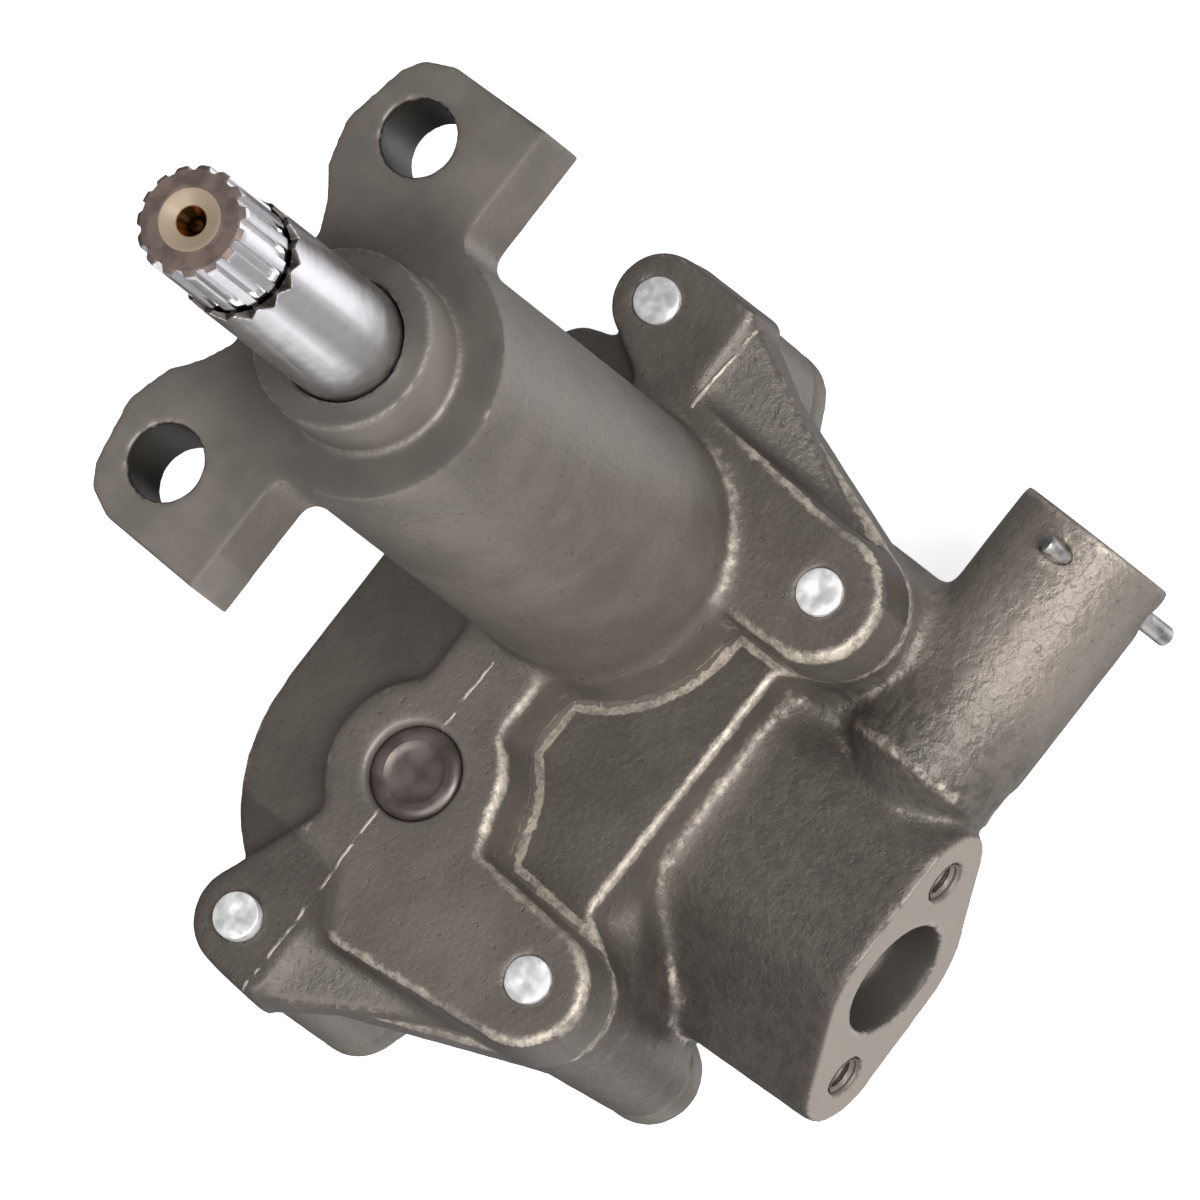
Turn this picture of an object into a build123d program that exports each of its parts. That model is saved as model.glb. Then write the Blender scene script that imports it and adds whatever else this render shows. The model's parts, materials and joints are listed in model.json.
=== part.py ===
from build123d import *
import math
import os

# Engine oil pump: an external gear pump with a splined drive shaft, built up of three iron castings.
# Millimetres. +Z runs along the drive shaft to its splined end, and the origin lies on the shaft's
# axis in the mounting flange's face. +X points to the open end of the relief valve, and the oil
# outlet faces -Y.

# ---- driving dimensions -------------------------------------------------------------------------
# fits
seat_gap = 0.02            # radial gap of a part that is pressed or pinned into its seat
running_gap = 0.05         # radial gap of a part that turns or slides in its bore
free_gap = 0.30            # gap between parts that only pass each other

# levels along the shaft
pilot_height = 13.4
ear_thickness = 16.5
plateau_z = -111.5         # top of the upper housing's base
joint_z = -123.5           # upper housing sits on the pump body
pocket_top_z = -130.0      # roof of the gear pocket
cover_joint_z = -168.5     # bottom cover closes the gear pocket
cover_bottom_z = -175.5

# barrel and mounting ears
pilot_radius = 15.0
barrel_radius = 22.8
barrel_bore_radius = 12.5
ear_hole_radius = 6.4      # clearance for M12
ear_hole_spacing = 65.0
ear_hole_y = 17.0

# gears
teeth = 10
module = 4.75
pressure_angle = math.radians(28)
flank_relief = 0.14        # thinning of each flank, which gives the backlash
centre_distance = teeth * module
addendum = 0.85 * module   # stub teeth
pocket_radius = centre_distance / 2 + addendum + free_gap
idler_x = -centre_distance
middle_x = idler_x / 2

# shafts and bushings
shaft_radius = 10.0
shaft_top_z = 86.0
spline_radius = 9.3
spline_teeth = 15
spline_bottom_z = 65.0
shoulder_z = 64.0          # top of the plain shaft, below the spline's grooved neck
bushing_radius = barrel_bore_radius - seat_gap
idler_shaft_radius = 8.0
idler_mouth_radius = 8.7   # bevelled mouth of its bore
idler_bushing_radius = 10.5

# castings' outer walls
case_radius = 31.0         # body's and cover's round wall about each gear
rim_radius = 32.0          # rim of the upper housing's base
front_wall_y = -34.4       # body's flat front wall at the upper joint
front_wall_width = 54.0
edge_break = 0.9           # bevel of the castings' outer edges
bolt_radius = 4.0          # M8
bolt_hole_radius = 4.4
head_radius = 6.5          # low socket head
head_height = 4.5
counterbore_radius = 6.9
counterbore_depth = 3.0
socket_half_width = 2.5
socket_depth = 2.6
washer_thickness = 1.0
lugs = {                   # each bolt's place, and its lug's radius at the upper and lower joint
    "drive_back": (36.0, 17.0, 8.3, 8.0),
    "drive_front": (15.0, -36.8, 11.6, 9.8),
    "idler_front": (-62.5, -38.2, 10.8, 8.7),
    "idler_back": (-83.2, 9.0, 8.3, 8.0),
}
bolt_places = [lug[:2] for lug in lugs.values()]

# webs between each gear's two bolt pads; their tops slope down towards the front
webs = {
    "drive": [(22, 4.3), (41.3, 4.1), (42.3, 0), (34.6, -14.5), (29.2, -25.4), (27.6, -30.4), (18, -34)],
    "idler": [(-72, 3.3), (-90.3, 3.1), (-91.2, -2.9), (-82, -17), (-77, -27), (-75.5, -31), (-62, -34)],
}
web_high = (5.1, plateau_z - 0.1)
web_low = (-27.0, joint_z + 1.2)

# upper housing's base
base_boss_radius = 24.6    # plateau round the barrel's foot
idler_boss_radius = 16.4
plateau_draft = 4
plateau_corner = 2.0
low_side_drop = 1.2        # the back half of the idler's side is cast this much lower
suction_rim_height = 9.5
suction_corner = (20, 25)
suction_corner_radius = 6.5
roof_high = (4, plateau_z - 1)        # y and z of the suction roof's slope
roof_low = (40, plateau_z - 11.5)
tool = 200                 # larger than the pump, for shapes that cut through it

# pump body
flange_depth = 9.0         # webs of the top flange
wall_draft = 2
suction_wall_height = 20.0
suction_wall_cap = 11.0    # coned top of the suction bulge

# outlet block
outlet_end_radius = 9.2
outlet_middle_radius = 16.2
outlet_draft = 2.5
block_root_y = -28.0       # the outlet block and the valve's neck start inside the case
outlet_x = -26.5
outlet_y = -71.8
outlet_z = -150.8
outlet_seat_radius = 10.2  # the delivery pipe's spigot sits in the bore's mouth
outlet_seat_depth = 9.0
outlet_bore_radius = 9.6
outlet_mouth_y = 15.0      # depth behind the shafts' plane where the bore opens into the pocket
port_bolt_spacing = 38.0
port_tilt = 25.0           # the outlet flange's long axis rises towards +X
tapped_radius = 3.4        # M8 tapping drill
tapped_depth = 9.4         # stops short of the relief valve's passage

# inlet port, on the bottom cover
inlet_y = 21.0
inlet_radius = 12.5
suction_radius = 13.6      # the inlet widens into the suction chamber
inlet_seat_depth = 12.0
inlet_bolt_spacing = 46.0
inlet_end_radius = 9.0
inlet_middle_radius = 17.5
inlet_tapped_depth = 14.0
inlet_face_z = -186.0
suction_wall_radius = 19.0
suction_chamber_height = 26.0

# relief valve
relief_y = -56.6
relief_z = -141.5
relief_outer_radius = 14.2
relief_bore_radius = 9.0
relief_start_x = 2.0
relief_cone_length = 8.0
relief_cone_slope = 40
relief_seat_x = 3.0
relief_end_x = 49.2
relief_inlet_radius = 4.5
spill_x = 5.6
spill_radius = 3.0
spill_slope = 22.0         # degrees below horizontal
neck_x = 17.6              # round neck that carries the valve
neck_z = -138.4
neck_radius = 10.9
plunger_length = 16.0
plug_face_x = 38.0
lock_pin_x = 43.5
lock_pin_radius = 1.75
lock_pin_above = 14.6      # the pin's two lengths from the middle of its chord
lock_pin_below = 16.8
lock_pin_offset = 8.2      # the pin's distance from the valve's axis
lock_pin_slope = 60.0      # degrees below horizontal, going down towards -Y

# hollow dowels round two of the bolts
dowel_radius = 5.8
dowel_depth = 4.0
cover_dowel_depth = 2.5    # the cover is thinner, and screw heads are sunk into it
dowel_places = [lugs[name][:2] for name in ("drive_back", "idler_front")]

# ends of the shafts' bores
bushing_top_z = 8.0
upper_bushing_foot_z = -22.0
lower_bushing_top_z = -94.0
idler_shaft_top_z = plateau_z - 0.6
cover_bore_z = -174.0
boss_bottom_z = -180.0
cover_boss_radius = 17.0
cover_rib_width = 8.0
shaft_foot_z = cover_bore_z + 0.5     # both shafts end just above the bottom of their bores

# the lock pin crosses the valve's cylinder as a chord, on the upper front side
pin_run = Vector(0, -math.cos(math.radians(lock_pin_slope)), -math.sin(math.radians(lock_pin_slope)))
pin_plane = Plane((lock_pin_x, relief_y + pin_run.Z * lock_pin_offset,
                   relief_z - pin_run.Y * lock_pin_offset), x_dir=(1, 0, 0), z_dir=pin_run)

outlet_face = Plane((outlet_x, outlet_y, outlet_z), x_dir=(1, 0, 0), z_dir=(0, -1, 0))
spill_angle = math.radians(spill_slope)
spill_plane = Plane((spill_x, relief_y, relief_z), x_dir=(1, 0, 0),
                    z_dir=(0, -math.cos(spill_angle), -math.sin(spill_angle)))

os.makedirs("parts", exist_ok=True)


# ---- shared shapes ------------------------------------------------------------------------------
def write(piece, name):
    """Label a finished piece and write it to its own STEP file."""
    piece.part.label = name
    export_step(piece.part, f"parts/{name}.step")


def gear_centres():
    """The two gear axes, drive then idler."""
    return Locations((0, 0), (idler_x, 0))


def involute_angle(radius, base_radius):
    """Polar angle of the involute at a radius, from where it leaves the base circle."""
    rolled = math.sqrt((radius / base_radius) ** 2 - 1)
    return rolled - math.atan(rolled)


def gear_tooth():
    """One involute tooth about the +X axis, with its foot sunk into the root circle."""
    pitch_radius = teeth * module / 2
    base_radius = pitch_radius * math.cos(pressure_angle)
    tip_radius = pitch_radius + addendum
    foot_radius = pitch_radius - 1.25 * module - 1.0
    half_tooth = math.pi / (2 * teeth) - flank_relief / pitch_radius
    half_base = half_tooth + involute_angle(pitch_radius, base_radius)
    upper_flank = []
    for share in (0, 0.5, 1):
        radius = base_radius + (tip_radius - base_radius) * share
        angle = half_base - involute_angle(radius, base_radius)
        upper_flank.append((radius * math.cos(angle), radius * math.sin(angle)))
    lower_flank = [(x, -y) for x, y in upper_flank]
    upper_foot = (foot_radius * math.cos(half_base), foot_radius * math.sin(half_base))
    lower_foot = (upper_foot[0], -upper_foot[1])
    with BuildSketch() as tooth:
        with BuildLine():
            ThreePointArc(*upper_flank)
            ThreePointArc(upper_flank[-1], (tip_radius, 0), lower_flank[-1])
            ThreePointArc(*lower_flank)
            Polyline(lower_flank[0], lower_foot, upper_foot, upper_flank[0])
        make_face()
    return tooth.sketch


def port_flange(length, end_radius, middle_radius):
    """Diamond-shaped two-bolt flange: a round middle drawn in to two round ends."""
    with BuildSketch() as flange:
        with Locations((-length / 2, 0), (length / 2, 0)):
            Circle(end_radius)
        Circle(middle_radius)
        make_hull()
    return flange.sketch


def side_web(outline):
    """Web between two bolt pads, cut off on top by a slope from web_high down to web_low."""
    with BuildPart() as web:
        with BuildSketch(Plane.XY.offset(joint_z)):
            Polygon(*outline, align=None)
        extrude(amount=plateau_z - joint_z)
        with BuildSketch(Plane.YZ.offset(-tool / 2)):
            Polygon(web_high, web_low, (-tool, web_low[1]), (-tool, plateau_z), (web_high[0], plateau_z),
                    align=None)
        extrude(amount=tool, mode=Mode.SUBTRACT)
    return web.part


def bolt_lugs(top_z, bottom_z, top_share, bottom_share):
    """Lugs down the four bolts, joined to the case. The shares give each end's place between the
    lug's radius at the upper joint, 0, and at the lower joint, 1."""
    with BuildPart() as columns:
        for x, y, upper_radius, lower_radius in lugs.values():
            centre_x = 0 if x > middle_x else idler_x
            start = upper_radius + (lower_radius - upper_radius) * top_share
            end = upper_radius + (lower_radius - upper_radius) * bottom_share
            with BuildSketch(Plane.XY.offset(top_z)):
                with Locations((x, y)):
                    Circle(start)
                with Locations((centre_x + (x - centre_x) * 0.6, y * 0.6)):
                    Circle(start + 1)
                make_hull()
            draft = math.degrees(math.atan((start - end) / (top_z - bottom_z)))
            extrude(amount=bottom_z - top_z, taper=draft)
    return columns.part


# ---- upper housing: pilot, ears, barrel and base in one casting -----------------------------------
with BuildPart() as upper_housing:
    # suction side of the base, whose roof slopes down to the rim
    with BuildSketch(Plane.XY.offset(joint_z)):
        with gear_centres():
            Circle(rim_radius)
        with Locations(suction_corner):
            Circle(suction_corner_radius)
        make_hull()
        with Locations((middle_x, -tool / 2)):
            Rectangle(tool, tool, mode=Mode.SUBTRACT)
    extrude(amount=suction_rim_height)
    with BuildSketch(Plane.YZ.offset(-tool / 2)):
        Polygon(roof_high, roof_low, (roof_low[0], plateau_z), (roof_high[0], plateau_z), align=None)
    extrude(amount=tool, mode=Mode.SUBTRACT)

    # plateau over both gears, which carries the bolt pads and the idler shaft's boss
    with BuildSketch(Plane.XY.offset(joint_z)) as plateau:
        Circle(base_boss_radius)
        with Locations((idler_x, 0)):
            Circle(idler_boss_radius)
        with BuildLine():
            Line((45, 0.8), (28.6, 0.8))
            Line((28.6, 0.8), (26.3, -33))
            ThreePointArc((26.3, -33), (14.5, -48.6), (2.6, -39))
            Polyline((2.6, -39), (2.2, -16), (-12, -16), (-22.5, -9.2), (-34, -9), (-41, -15),
                     (-50.5, -18.5), (-51.8, -38))
            ThreePointArc((-51.8, -38), (-63, -49.4), (-74.5, -40))
            Polyline((-74.5, -40), (-78.6, -2.6), (-93, -2.2), (-92.2, 9.5))
            ThreePointArc((-92.2, 9.5), (-87.5, 16.6), (-79.5, 17.5))
            Polyline((-79.5, 17.5), (-60, 9), (0, 10), (21, 8), (27.6, 20))
            ThreePointArc((27.6, 20), (36.5, 26), (45, 16))
            Line((45, 16), (45, 0.8))
        make_face()
        fillet(plateau.vertices(), plateau_corner)
    extrude(amount=plateau_z - joint_z, taper=plateau_draft)
    chamfer(upper_housing.edges().group_by(Axis.Z)[-1], edge_break)
    for outline in webs.values():
        add(side_web(outline))

    # the back half of the idler's side is cast a little lower
    with BuildSketch(Plane.XY.offset(plateau_z)):
        Polygon((-66, 0.9), (-66, 30), (-100, 30), (-100, -6), (-77, -6), align=None)
    extrude(amount=-low_side_drop, mode=Mode.SUBTRACT)

    # barrel, pilot and mounting ears
    with BuildSketch(Plane.XY):
        Circle(barrel_radius)
    extrude(amount=joint_z)
    with BuildSketch(Plane.XY) as flange:
        with Locations(Location((0, 0, 0), (0, 0, 90))):
            Circle(barrel_radius)
        with BuildLine() as ears:
            Line((0, 0), (45.6, 0))
            Polyline((45.6, 0), (45, 19.5), (42.8, 24.6), (39.2, 26.8), (28, 29), (20.5, 26.7),
                     (16, 23), (11, 20.5), (0, 21))
            mirror(about=Plane.YZ)
        make_face()
        throats = flange.vertices().filter_by(lambda corner: abs(corner.Y) < 1 and abs(corner.X) < 24)
        fillet(throats, 3.5)
        corners = flange.vertices().filter_by(lambda corner: abs(corner.X) > 15 and corner.Y > 10)
        fillet(corners, 2.5)
    extrude(amount=-ear_thickness)
    with BuildSketch(Plane.XY):
        Circle(pilot_radius)
    extrude(amount=pilot_height)

    # bore through the barrel
    with BuildSketch(Plane.XY.offset(joint_z)):
        Circle(barrel_bore_radius)
    extrude(amount=bushing_top_z - joint_z, mode=Mode.SUBTRACT)
    with BuildSketch(Plane.XY.offset(bushing_top_z)):
        Circle(shaft_radius + free_gap)
    extrude(amount=pilot_height, mode=Mode.SUBTRACT)

    # ear holes
    with BuildSketch(Plane.XY):
        with Locations((0, ear_hole_y)):
            with GridLocations(ear_hole_spacing, 0, 2, 1):
                Circle(ear_hole_radius)
    extrude(amount=-ear_thickness, mode=Mode.SUBTRACT)

    # idler shaft's bore, and the threaded bolt holes
    with Locations((idler_x, 0, plateau_z)):
        CounterSinkHole(idler_shaft_radius + seat_gap, idler_mouth_radius, depth=plateau_z - joint_z)
    with BuildSketch(Plane.XY.offset(plateau_z)):
        with Locations(*bolt_places):
            Circle(bolt_radius + seat_gap)
    extrude(amount=joint_z - plateau_z, mode=Mode.SUBTRACT)
    with BuildSketch(Plane.XY.offset(joint_z)):
        with Locations(*dowel_places):
            Circle(dowel_radius)
    extrude(amount=dowel_depth, mode=Mode.SUBTRACT)
write(upper_housing, "upper_housing")


# ---- pump body: gear pocket, outlet block and relief valve in one casting -------------------------
with BuildPart() as pump_body:
    # round-walled case with a lug down each bolt
    with BuildSketch(Plane.XY.offset(cover_joint_z)):
        with gear_centres():
            Circle(case_radius)
        make_hull()
    extrude(amount=joint_z - cover_joint_z)
    add(bolt_lugs(joint_z, cover_joint_z, 0, 1))

    # top flange, whose webs tie each pair of lugs together
    with BuildSketch(Plane.XY.offset(joint_z)):
        for side in ("drive", "idler"):
            with BuildSketch(mode=Mode.ADD):
                for place in ("back", "front"):
                    x, y, upper_radius, lower_radius = lugs[f"{side}_{place}"]
                    with Locations((x, y)):
                        Circle(upper_radius)
                with Locations((0 if side == "drive" else idler_x, 0)):
                    Circle(idler_boss_radius)
                make_hull()
    extrude(amount=-flange_depth)

    # flat front wall between the two front lugs
    with BuildSketch(Plane.XY.offset(joint_z)):
        with Locations((middle_x, front_wall_y / 2)):
            Rectangle(front_wall_width, -front_wall_y)
    extrude(amount=cover_joint_z - joint_z, taper=wall_draft)

    # corner between the idler's front lug and the outlet block, filled out
    with BuildSketch(Plane.XY.offset(cover_joint_z)):
        Polygon((-60, -28), (-34, -28), (-38, -34), (-52, -44), (-60, -44), align=None)
    extrude(amount=joint_z - flange_depth - cover_joint_z)

    # suction bulge on the back wall
    with BuildSketch(Plane.XY.offset(cover_joint_z)):
        with Locations((middle_x, inlet_y)):
            Circle(suction_wall_radius)
    extrude(amount=suction_wall_height)
    with BuildSketch(Plane.XY.offset(cover_joint_z + suction_wall_height)):
        with Locations((middle_x, inlet_y)):
            Circle(suction_wall_radius)
    extrude(amount=suction_wall_cap, taper=32)

    # outlet block, which spreads from its machined face back to the case
    with BuildSketch(outlet_face):
        with Locations(Location((0, 0, 0), (0, 0, port_tilt))):
            add(port_flange(port_bolt_spacing, outlet_end_radius, outlet_middle_radius))
    extrude(amount=outlet_y - block_root_y, taper=-outlet_draft)
    with BuildSketch(Plane.XY.offset(cover_joint_z)):
        Rectangle(tool, tool)
    extrude(amount=-outlet_end_radius, mode=Mode.SUBTRACT)

    # relief valve's cylinder with its coned end, and the round neck that carries it
    with BuildSketch(Plane.YZ.offset(relief_start_x)):
        with Locations((relief_y, relief_z)):
            Circle(relief_outer_radius)
    extrude(amount=relief_end_x - relief_start_x)
    with BuildSketch(Plane.YZ.offset(relief_start_x)):
        with Locations((relief_y, relief_z)):
            Circle(relief_outer_radius)
    extrude(amount=-relief_cone_length, taper=relief_cone_slope)
    with BuildSketch(Plane.XZ.offset(-block_root_y)):
        with Locations((neck_x, neck_z)):
            Circle(neck_radius)
    extrude(amount=block_root_y - relief_y)

    # gear pocket, open to the cover, and the shafts' bores through its roof
    with BuildSketch(Plane.XY.offset(pocket_top_z)):
        with gear_centres():
            Circle(pocket_radius)
    extrude(amount=cover_joint_z - pocket_top_z, mode=Mode.SUBTRACT)
    with BuildSketch(Plane.XY.offset(joint_z)):
        Circle(shaft_radius + free_gap)
        with Locations((idler_x, 0)):
            Circle(idler_shaft_radius + free_gap)
    extrude(amount=pocket_top_z - joint_z, mode=Mode.SUBTRACT)

    # suction chamber, outlet bore with its tapped holes
    with BuildSketch(Plane.XY.offset(cover_joint_z)):
        with Locations((middle_x, inlet_y)):
            Circle(suction_radius)
        with Locations((middle_x, inlet_y - 5)):
            Rectangle(18, 12)
    extrude(amount=suction_chamber_height, mode=Mode.SUBTRACT)
    with BuildSketch(outlet_face):
        Circle(outlet_seat_radius)
    extrude(amount=-outlet_seat_depth, mode=Mode.SUBTRACT)
    with BuildSketch(outlet_face):
        Circle(outlet_bore_radius)
    extrude(amount=outlet_y + outlet_mouth_y, mode=Mode.SUBTRACT)
    with Locations(outlet_face * Location((0, 0, 0), (0, 0, port_tilt))):
        with GridLocations(port_bolt_spacing, 0, 2, 1):
            Hole(tapped_radius, depth=tapped_depth)

    # relief valve's bore, seat and spill hole
    with BuildSketch(Plane.YZ.offset(relief_seat_x)):
        with Locations((relief_y, relief_z)):
            Circle(relief_bore_radius)
    extrude(amount=relief_end_x, mode=Mode.SUBTRACT)
    with BuildSketch(Plane.YZ.offset(outlet_x)):
        with Locations((relief_y, relief_z)):
            Circle(relief_inlet_radius)
    extrude(amount=relief_seat_x - outlet_x, mode=Mode.SUBTRACT)
    with BuildSketch(spill_plane):
        Circle(spill_radius)
    extrude(amount=20, mode=Mode.SUBTRACT)

    # cross hole of the lock pin
    with BuildSketch(pin_plane):
        Circle(lock_pin_radius + seat_gap)
    extrude(amount=16, both=True, mode=Mode.SUBTRACT)

    # bolt holes
    with BuildSketch(Plane.XY.offset(joint_z)):
        with Locations(*bolt_places):
            Circle(bolt_hole_radius)
    extrude(amount=cover_joint_z - joint_z, mode=Mode.SUBTRACT)
    for level, depth in ((joint_z, -dowel_depth), (cover_joint_z, dowel_depth)):
        with BuildSketch(Plane.XY.offset(level)):
            with Locations(*dowel_places):
                Circle(dowel_radius)
        extrude(amount=depth, mode=Mode.SUBTRACT)
write(pump_body, "pump_body")


# ---- bottom cover: closes the gear pocket and carries both shafts' lower ends ---------------------
with BuildPart() as bottom_cover:
    with BuildSketch(Plane.XY.offset(cover_joint_z)):
        with gear_centres():
            Circle(case_radius)
        make_hull()
    extrude(amount=cover_bottom_z - cover_joint_z)
    add(bolt_lugs(cover_joint_z, cover_bottom_z, 1, 1.04))
    with BuildSketch(Plane.XY.offset(cover_joint_z)):
        with Locations((middle_x, inlet_y)):
            Circle(suction_wall_radius)
    extrude(amount=cover_bottom_z - cover_joint_z)
    chamfer(bottom_cover.edges().group_by(Axis.Z)[0], edge_break)

    # bosses over the two shafts, joined by a rib
    with BuildSketch(Plane.XY.offset(cover_bottom_z)):
        with gear_centres():
            Circle(cover_boss_radius)
        with Locations((middle_x, 0)):
            Rectangle(centre_distance, cover_rib_width)
    extrude(amount=boss_bottom_z - cover_bottom_z, taper=8)

    # inlet flange
    with BuildSketch(Plane.XY.offset(cover_bottom_z)):
        with Locations((middle_x, inlet_y)):
            add(port_flange(inlet_bolt_spacing, inlet_end_radius, inlet_middle_radius))
    extrude(amount=inlet_face_z - cover_bottom_z)
    with BuildSketch(Plane.XY.offset(inlet_face_z)):
        with Locations((middle_x, inlet_y)):
            Circle(inlet_radius)
    extrude(amount=inlet_seat_depth, mode=Mode.SUBTRACT)
    with BuildSketch(Plane.XY.offset(cover_joint_z)):
        with Locations((middle_x, inlet_y)):
            Circle(suction_radius)
    extrude(amount=inlet_face_z + inlet_seat_depth - cover_joint_z, mode=Mode.SUBTRACT)
    with BuildSketch(Plane.XY.offset(inlet_face_z)):
        with Locations((middle_x, inlet_y)):
            with GridLocations(inlet_bolt_spacing, 0, 2, 1):
                Circle(tapped_radius)
    extrude(amount=inlet_tapped_depth, mode=Mode.SUBTRACT)

    # blind bores for the drive shaft's bushing and the idler shaft
    with BuildSketch(Plane.XY.offset(cover_joint_z)):
        Circle(barrel_bore_radius)
        with Locations((idler_x, 0)):
            Circle(idler_shaft_radius + seat_gap)
    extrude(amount=cover_bore_z - cover_joint_z, mode=Mode.SUBTRACT)

    # bolt holes, with the heads' counterbores from below
    with BuildSketch(Plane.XY.offset(cover_joint_z)):
        with Locations(*bolt_places):
            Circle(bolt_hole_radius)
    extrude(amount=cover_bottom_z - cover_joint_z, mode=Mode.SUBTRACT)
    with BuildSketch(Plane.XY.offset(cover_bottom_z)):
        with Locations(*bolt_places):
            Circle(counterbore_radius)
    extrude(amount=counterbore_depth, mode=Mode.SUBTRACT)
    with BuildSketch(Plane.XY.offset(cover_joint_z)):
        with Locations(*dowel_places):
            Circle(dowel_radius)
    extrude(amount=-cover_dowel_depth, mode=Mode.SUBTRACT)
write(bottom_cover, "bottom_cover")


# ---- drive shaft ----------------------------------------------------------------------------------
centre_hole_radius = 2.55
centre_sink_radius = 5.0
centre_hole_depth = 6.0
key_width = 5.0
key_radius = 9.5           # Woodruff key, a 19 mm half-disc
key_top = 12.3             # distance of the key's flat top from the shaft's axis
key_centre = key_top + 2.0
gear_middle_z = (pocket_top_z + cover_joint_z) / 2
gear_length = pocket_top_z - cover_joint_z - 2 * running_gap
groove_depth = 1.2         # spline groove
groove_floor = 0.75        # half widths of a groove's floor, and of the cutter just above the teeth
groove_mouth = 1.45
groove_start = -81.8       # angle of the first spline groove
notch_half_width = 1.5     # pointed notch where each groove runs out into the plain shaft
notch_depth = 1.4
notch_length = 2.6

with BuildSketch() as spline_groove:
    with BuildLine():
        Polyline((spline_radius - groove_depth, -groove_floor), (spline_radius - groove_depth, groove_floor),
                 (spline_radius + groove_depth, groove_mouth), (spline_radius + groove_depth, -groove_mouth),
                 close=True)
    make_face()

with BuildPart() as spline_run_out:
    with BuildSketch(Plane.YZ.offset(shaft_radius - notch_depth)):
        Polygon((-notch_half_width, shoulder_z), (notch_half_width, shoulder_z),
                (0, shoulder_z - notch_length), align=None)
    extrude(amount=2 * notch_depth)
run_out = spline_run_out.part

with BuildPart() as drive_shaft:
    with BuildSketch(Plane.XY.offset(shaft_foot_z)):
        Circle(shaft_radius)
    extrude(amount=shoulder_z - shaft_foot_z)
    with BuildSketch(Plane.XY.offset(shoulder_z)):
        Circle(spline_radius - groove_depth)
    extrude(amount=spline_bottom_z - shoulder_z)
    with BuildSketch(Plane.XY.offset(spline_bottom_z)):
        Circle(spline_radius)
    extrude(amount=shaft_top_z - spline_bottom_z)
    chamfer(drive_shaft.edges().sort_by(Axis.Z)[-1], 0.9)
    with BuildSketch(Plane.XY.offset(spline_bottom_z)):
        with PolarLocations(0, spline_teeth, start_angle=groove_start):
            add(spline_groove.sketch)
    extrude(amount=shaft_top_z - spline_bottom_z, mode=Mode.SUBTRACT)

    # each groove runs out in a pointed notch in the plain shaft
    with PolarLocations(0, spline_teeth, start_angle=groove_start):
        add(run_out, mode=Mode.SUBTRACT)

    # centre hole with a wide countersink
    with Locations((0, 0, shaft_top_z)):
        CounterSinkHole(centre_hole_radius, centre_sink_radius, depth=centre_hole_depth,
                        counter_sink_angle=150)
    chamfer(drive_shaft.edges().sort_by(Axis.Z)[0], 1.0)

    # seat of the gear's key
    with BuildSketch(Plane.YZ.offset(-key_width / 2)):
        with Locations((key_centre, gear_middle_z)):
            Circle(key_radius)
    extrude(amount=key_width, mode=Mode.SUBTRACT)
write(drive_shaft, "drive_shaft")

with BuildPart() as drive_gear_key:
    with BuildSketch(Plane.YZ.offset(seat_gap - key_width / 2)):
        with Locations((key_centre, gear_middle_z)):
            Circle(key_radius - seat_gap)
        with Locations((key_top + key_radius, gear_middle_z)):
            Rectangle(2 * key_radius, 3 * key_radius, mode=Mode.SUBTRACT)
    extrude(amount=key_width - 2 * seat_gap)
write(drive_gear_key, "drive_gear_key")


dish_radius = 5.0
dish_depth = 0.8


# ---- gears: the idler is turned by half a pitch, so that the two are in mesh -----------------------
gear_foot = Plane.XY.offset(cover_joint_z + running_gap)
root_radius = teeth * module / 2 - 1.25 * module
tooth = gear_tooth()

with BuildPart() as drive_gear:
    with BuildSketch(gear_foot):
        Circle(root_radius)
        with PolarLocations(0, teeth):
            add(tooth)
        Circle(shaft_radius + seat_gap, mode=Mode.SUBTRACT)
        with Locations((0, key_top / 2)):
            Rectangle(key_width, key_top + 0.2, mode=Mode.SUBTRACT)
    extrude(amount=gear_length)
write(drive_gear, "drive_gear")

with BuildPart() as idler_gear:
    with BuildSketch(gear_foot):
        with Locations((idler_x, 0)):
            Circle(root_radius)
            with PolarLocations(0, teeth, start_angle=180 / teeth):
                add(tooth)
            Circle(idler_bushing_radius + seat_gap, mode=Mode.SUBTRACT)
    extrude(amount=gear_length)
write(idler_gear, "idler_gear")

with BuildPart() as idler_gear_bushing:
    with BuildSketch(gear_foot):
        with Locations((idler_x, 0)):
            Circle(idler_bushing_radius)
            Circle(idler_shaft_radius + running_gap, mode=Mode.SUBTRACT)
    extrude(amount=gear_length)
write(idler_gear_bushing, "idler_gear_bushing")

with BuildPart() as idler_shaft:
    with BuildSketch(Plane.XY.offset(shaft_foot_z)):
        with Locations((idler_x, 0)):
            Circle(idler_shaft_radius)
    extrude(amount=idler_shaft_top_z - shaft_foot_z)
    chamfer(idler_shaft.edges().group_by(Axis.Z)[-1], 1.6)
    # shallow dish turned in the end that shows
    with BuildSketch(Plane.XY.offset(idler_shaft_top_z)):
        with Locations((idler_x, 0)):
            Circle(dish_radius)
    extrude(amount=-dish_depth, taper=45, mode=Mode.SUBTRACT)
write(idler_shaft, "idler_shaft")


# ---- drive shaft's bushings -------------------------------------------------------------------------
def shaft_bushing(bottom_z, top_z):
    """A plain bushing round the drive shaft."""
    with BuildPart() as bushing:
        with BuildSketch(Plane.XY.offset(bottom_z)):
            Circle(bushing_radius)
        extrude(amount=top_z - bottom_z)
        with BuildSketch(Plane.XY.offset(bottom_z)):
            Circle(shaft_radius + running_gap)
        extrude(amount=top_z - bottom_z, mode=Mode.SUBTRACT)
    return bushing


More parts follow.
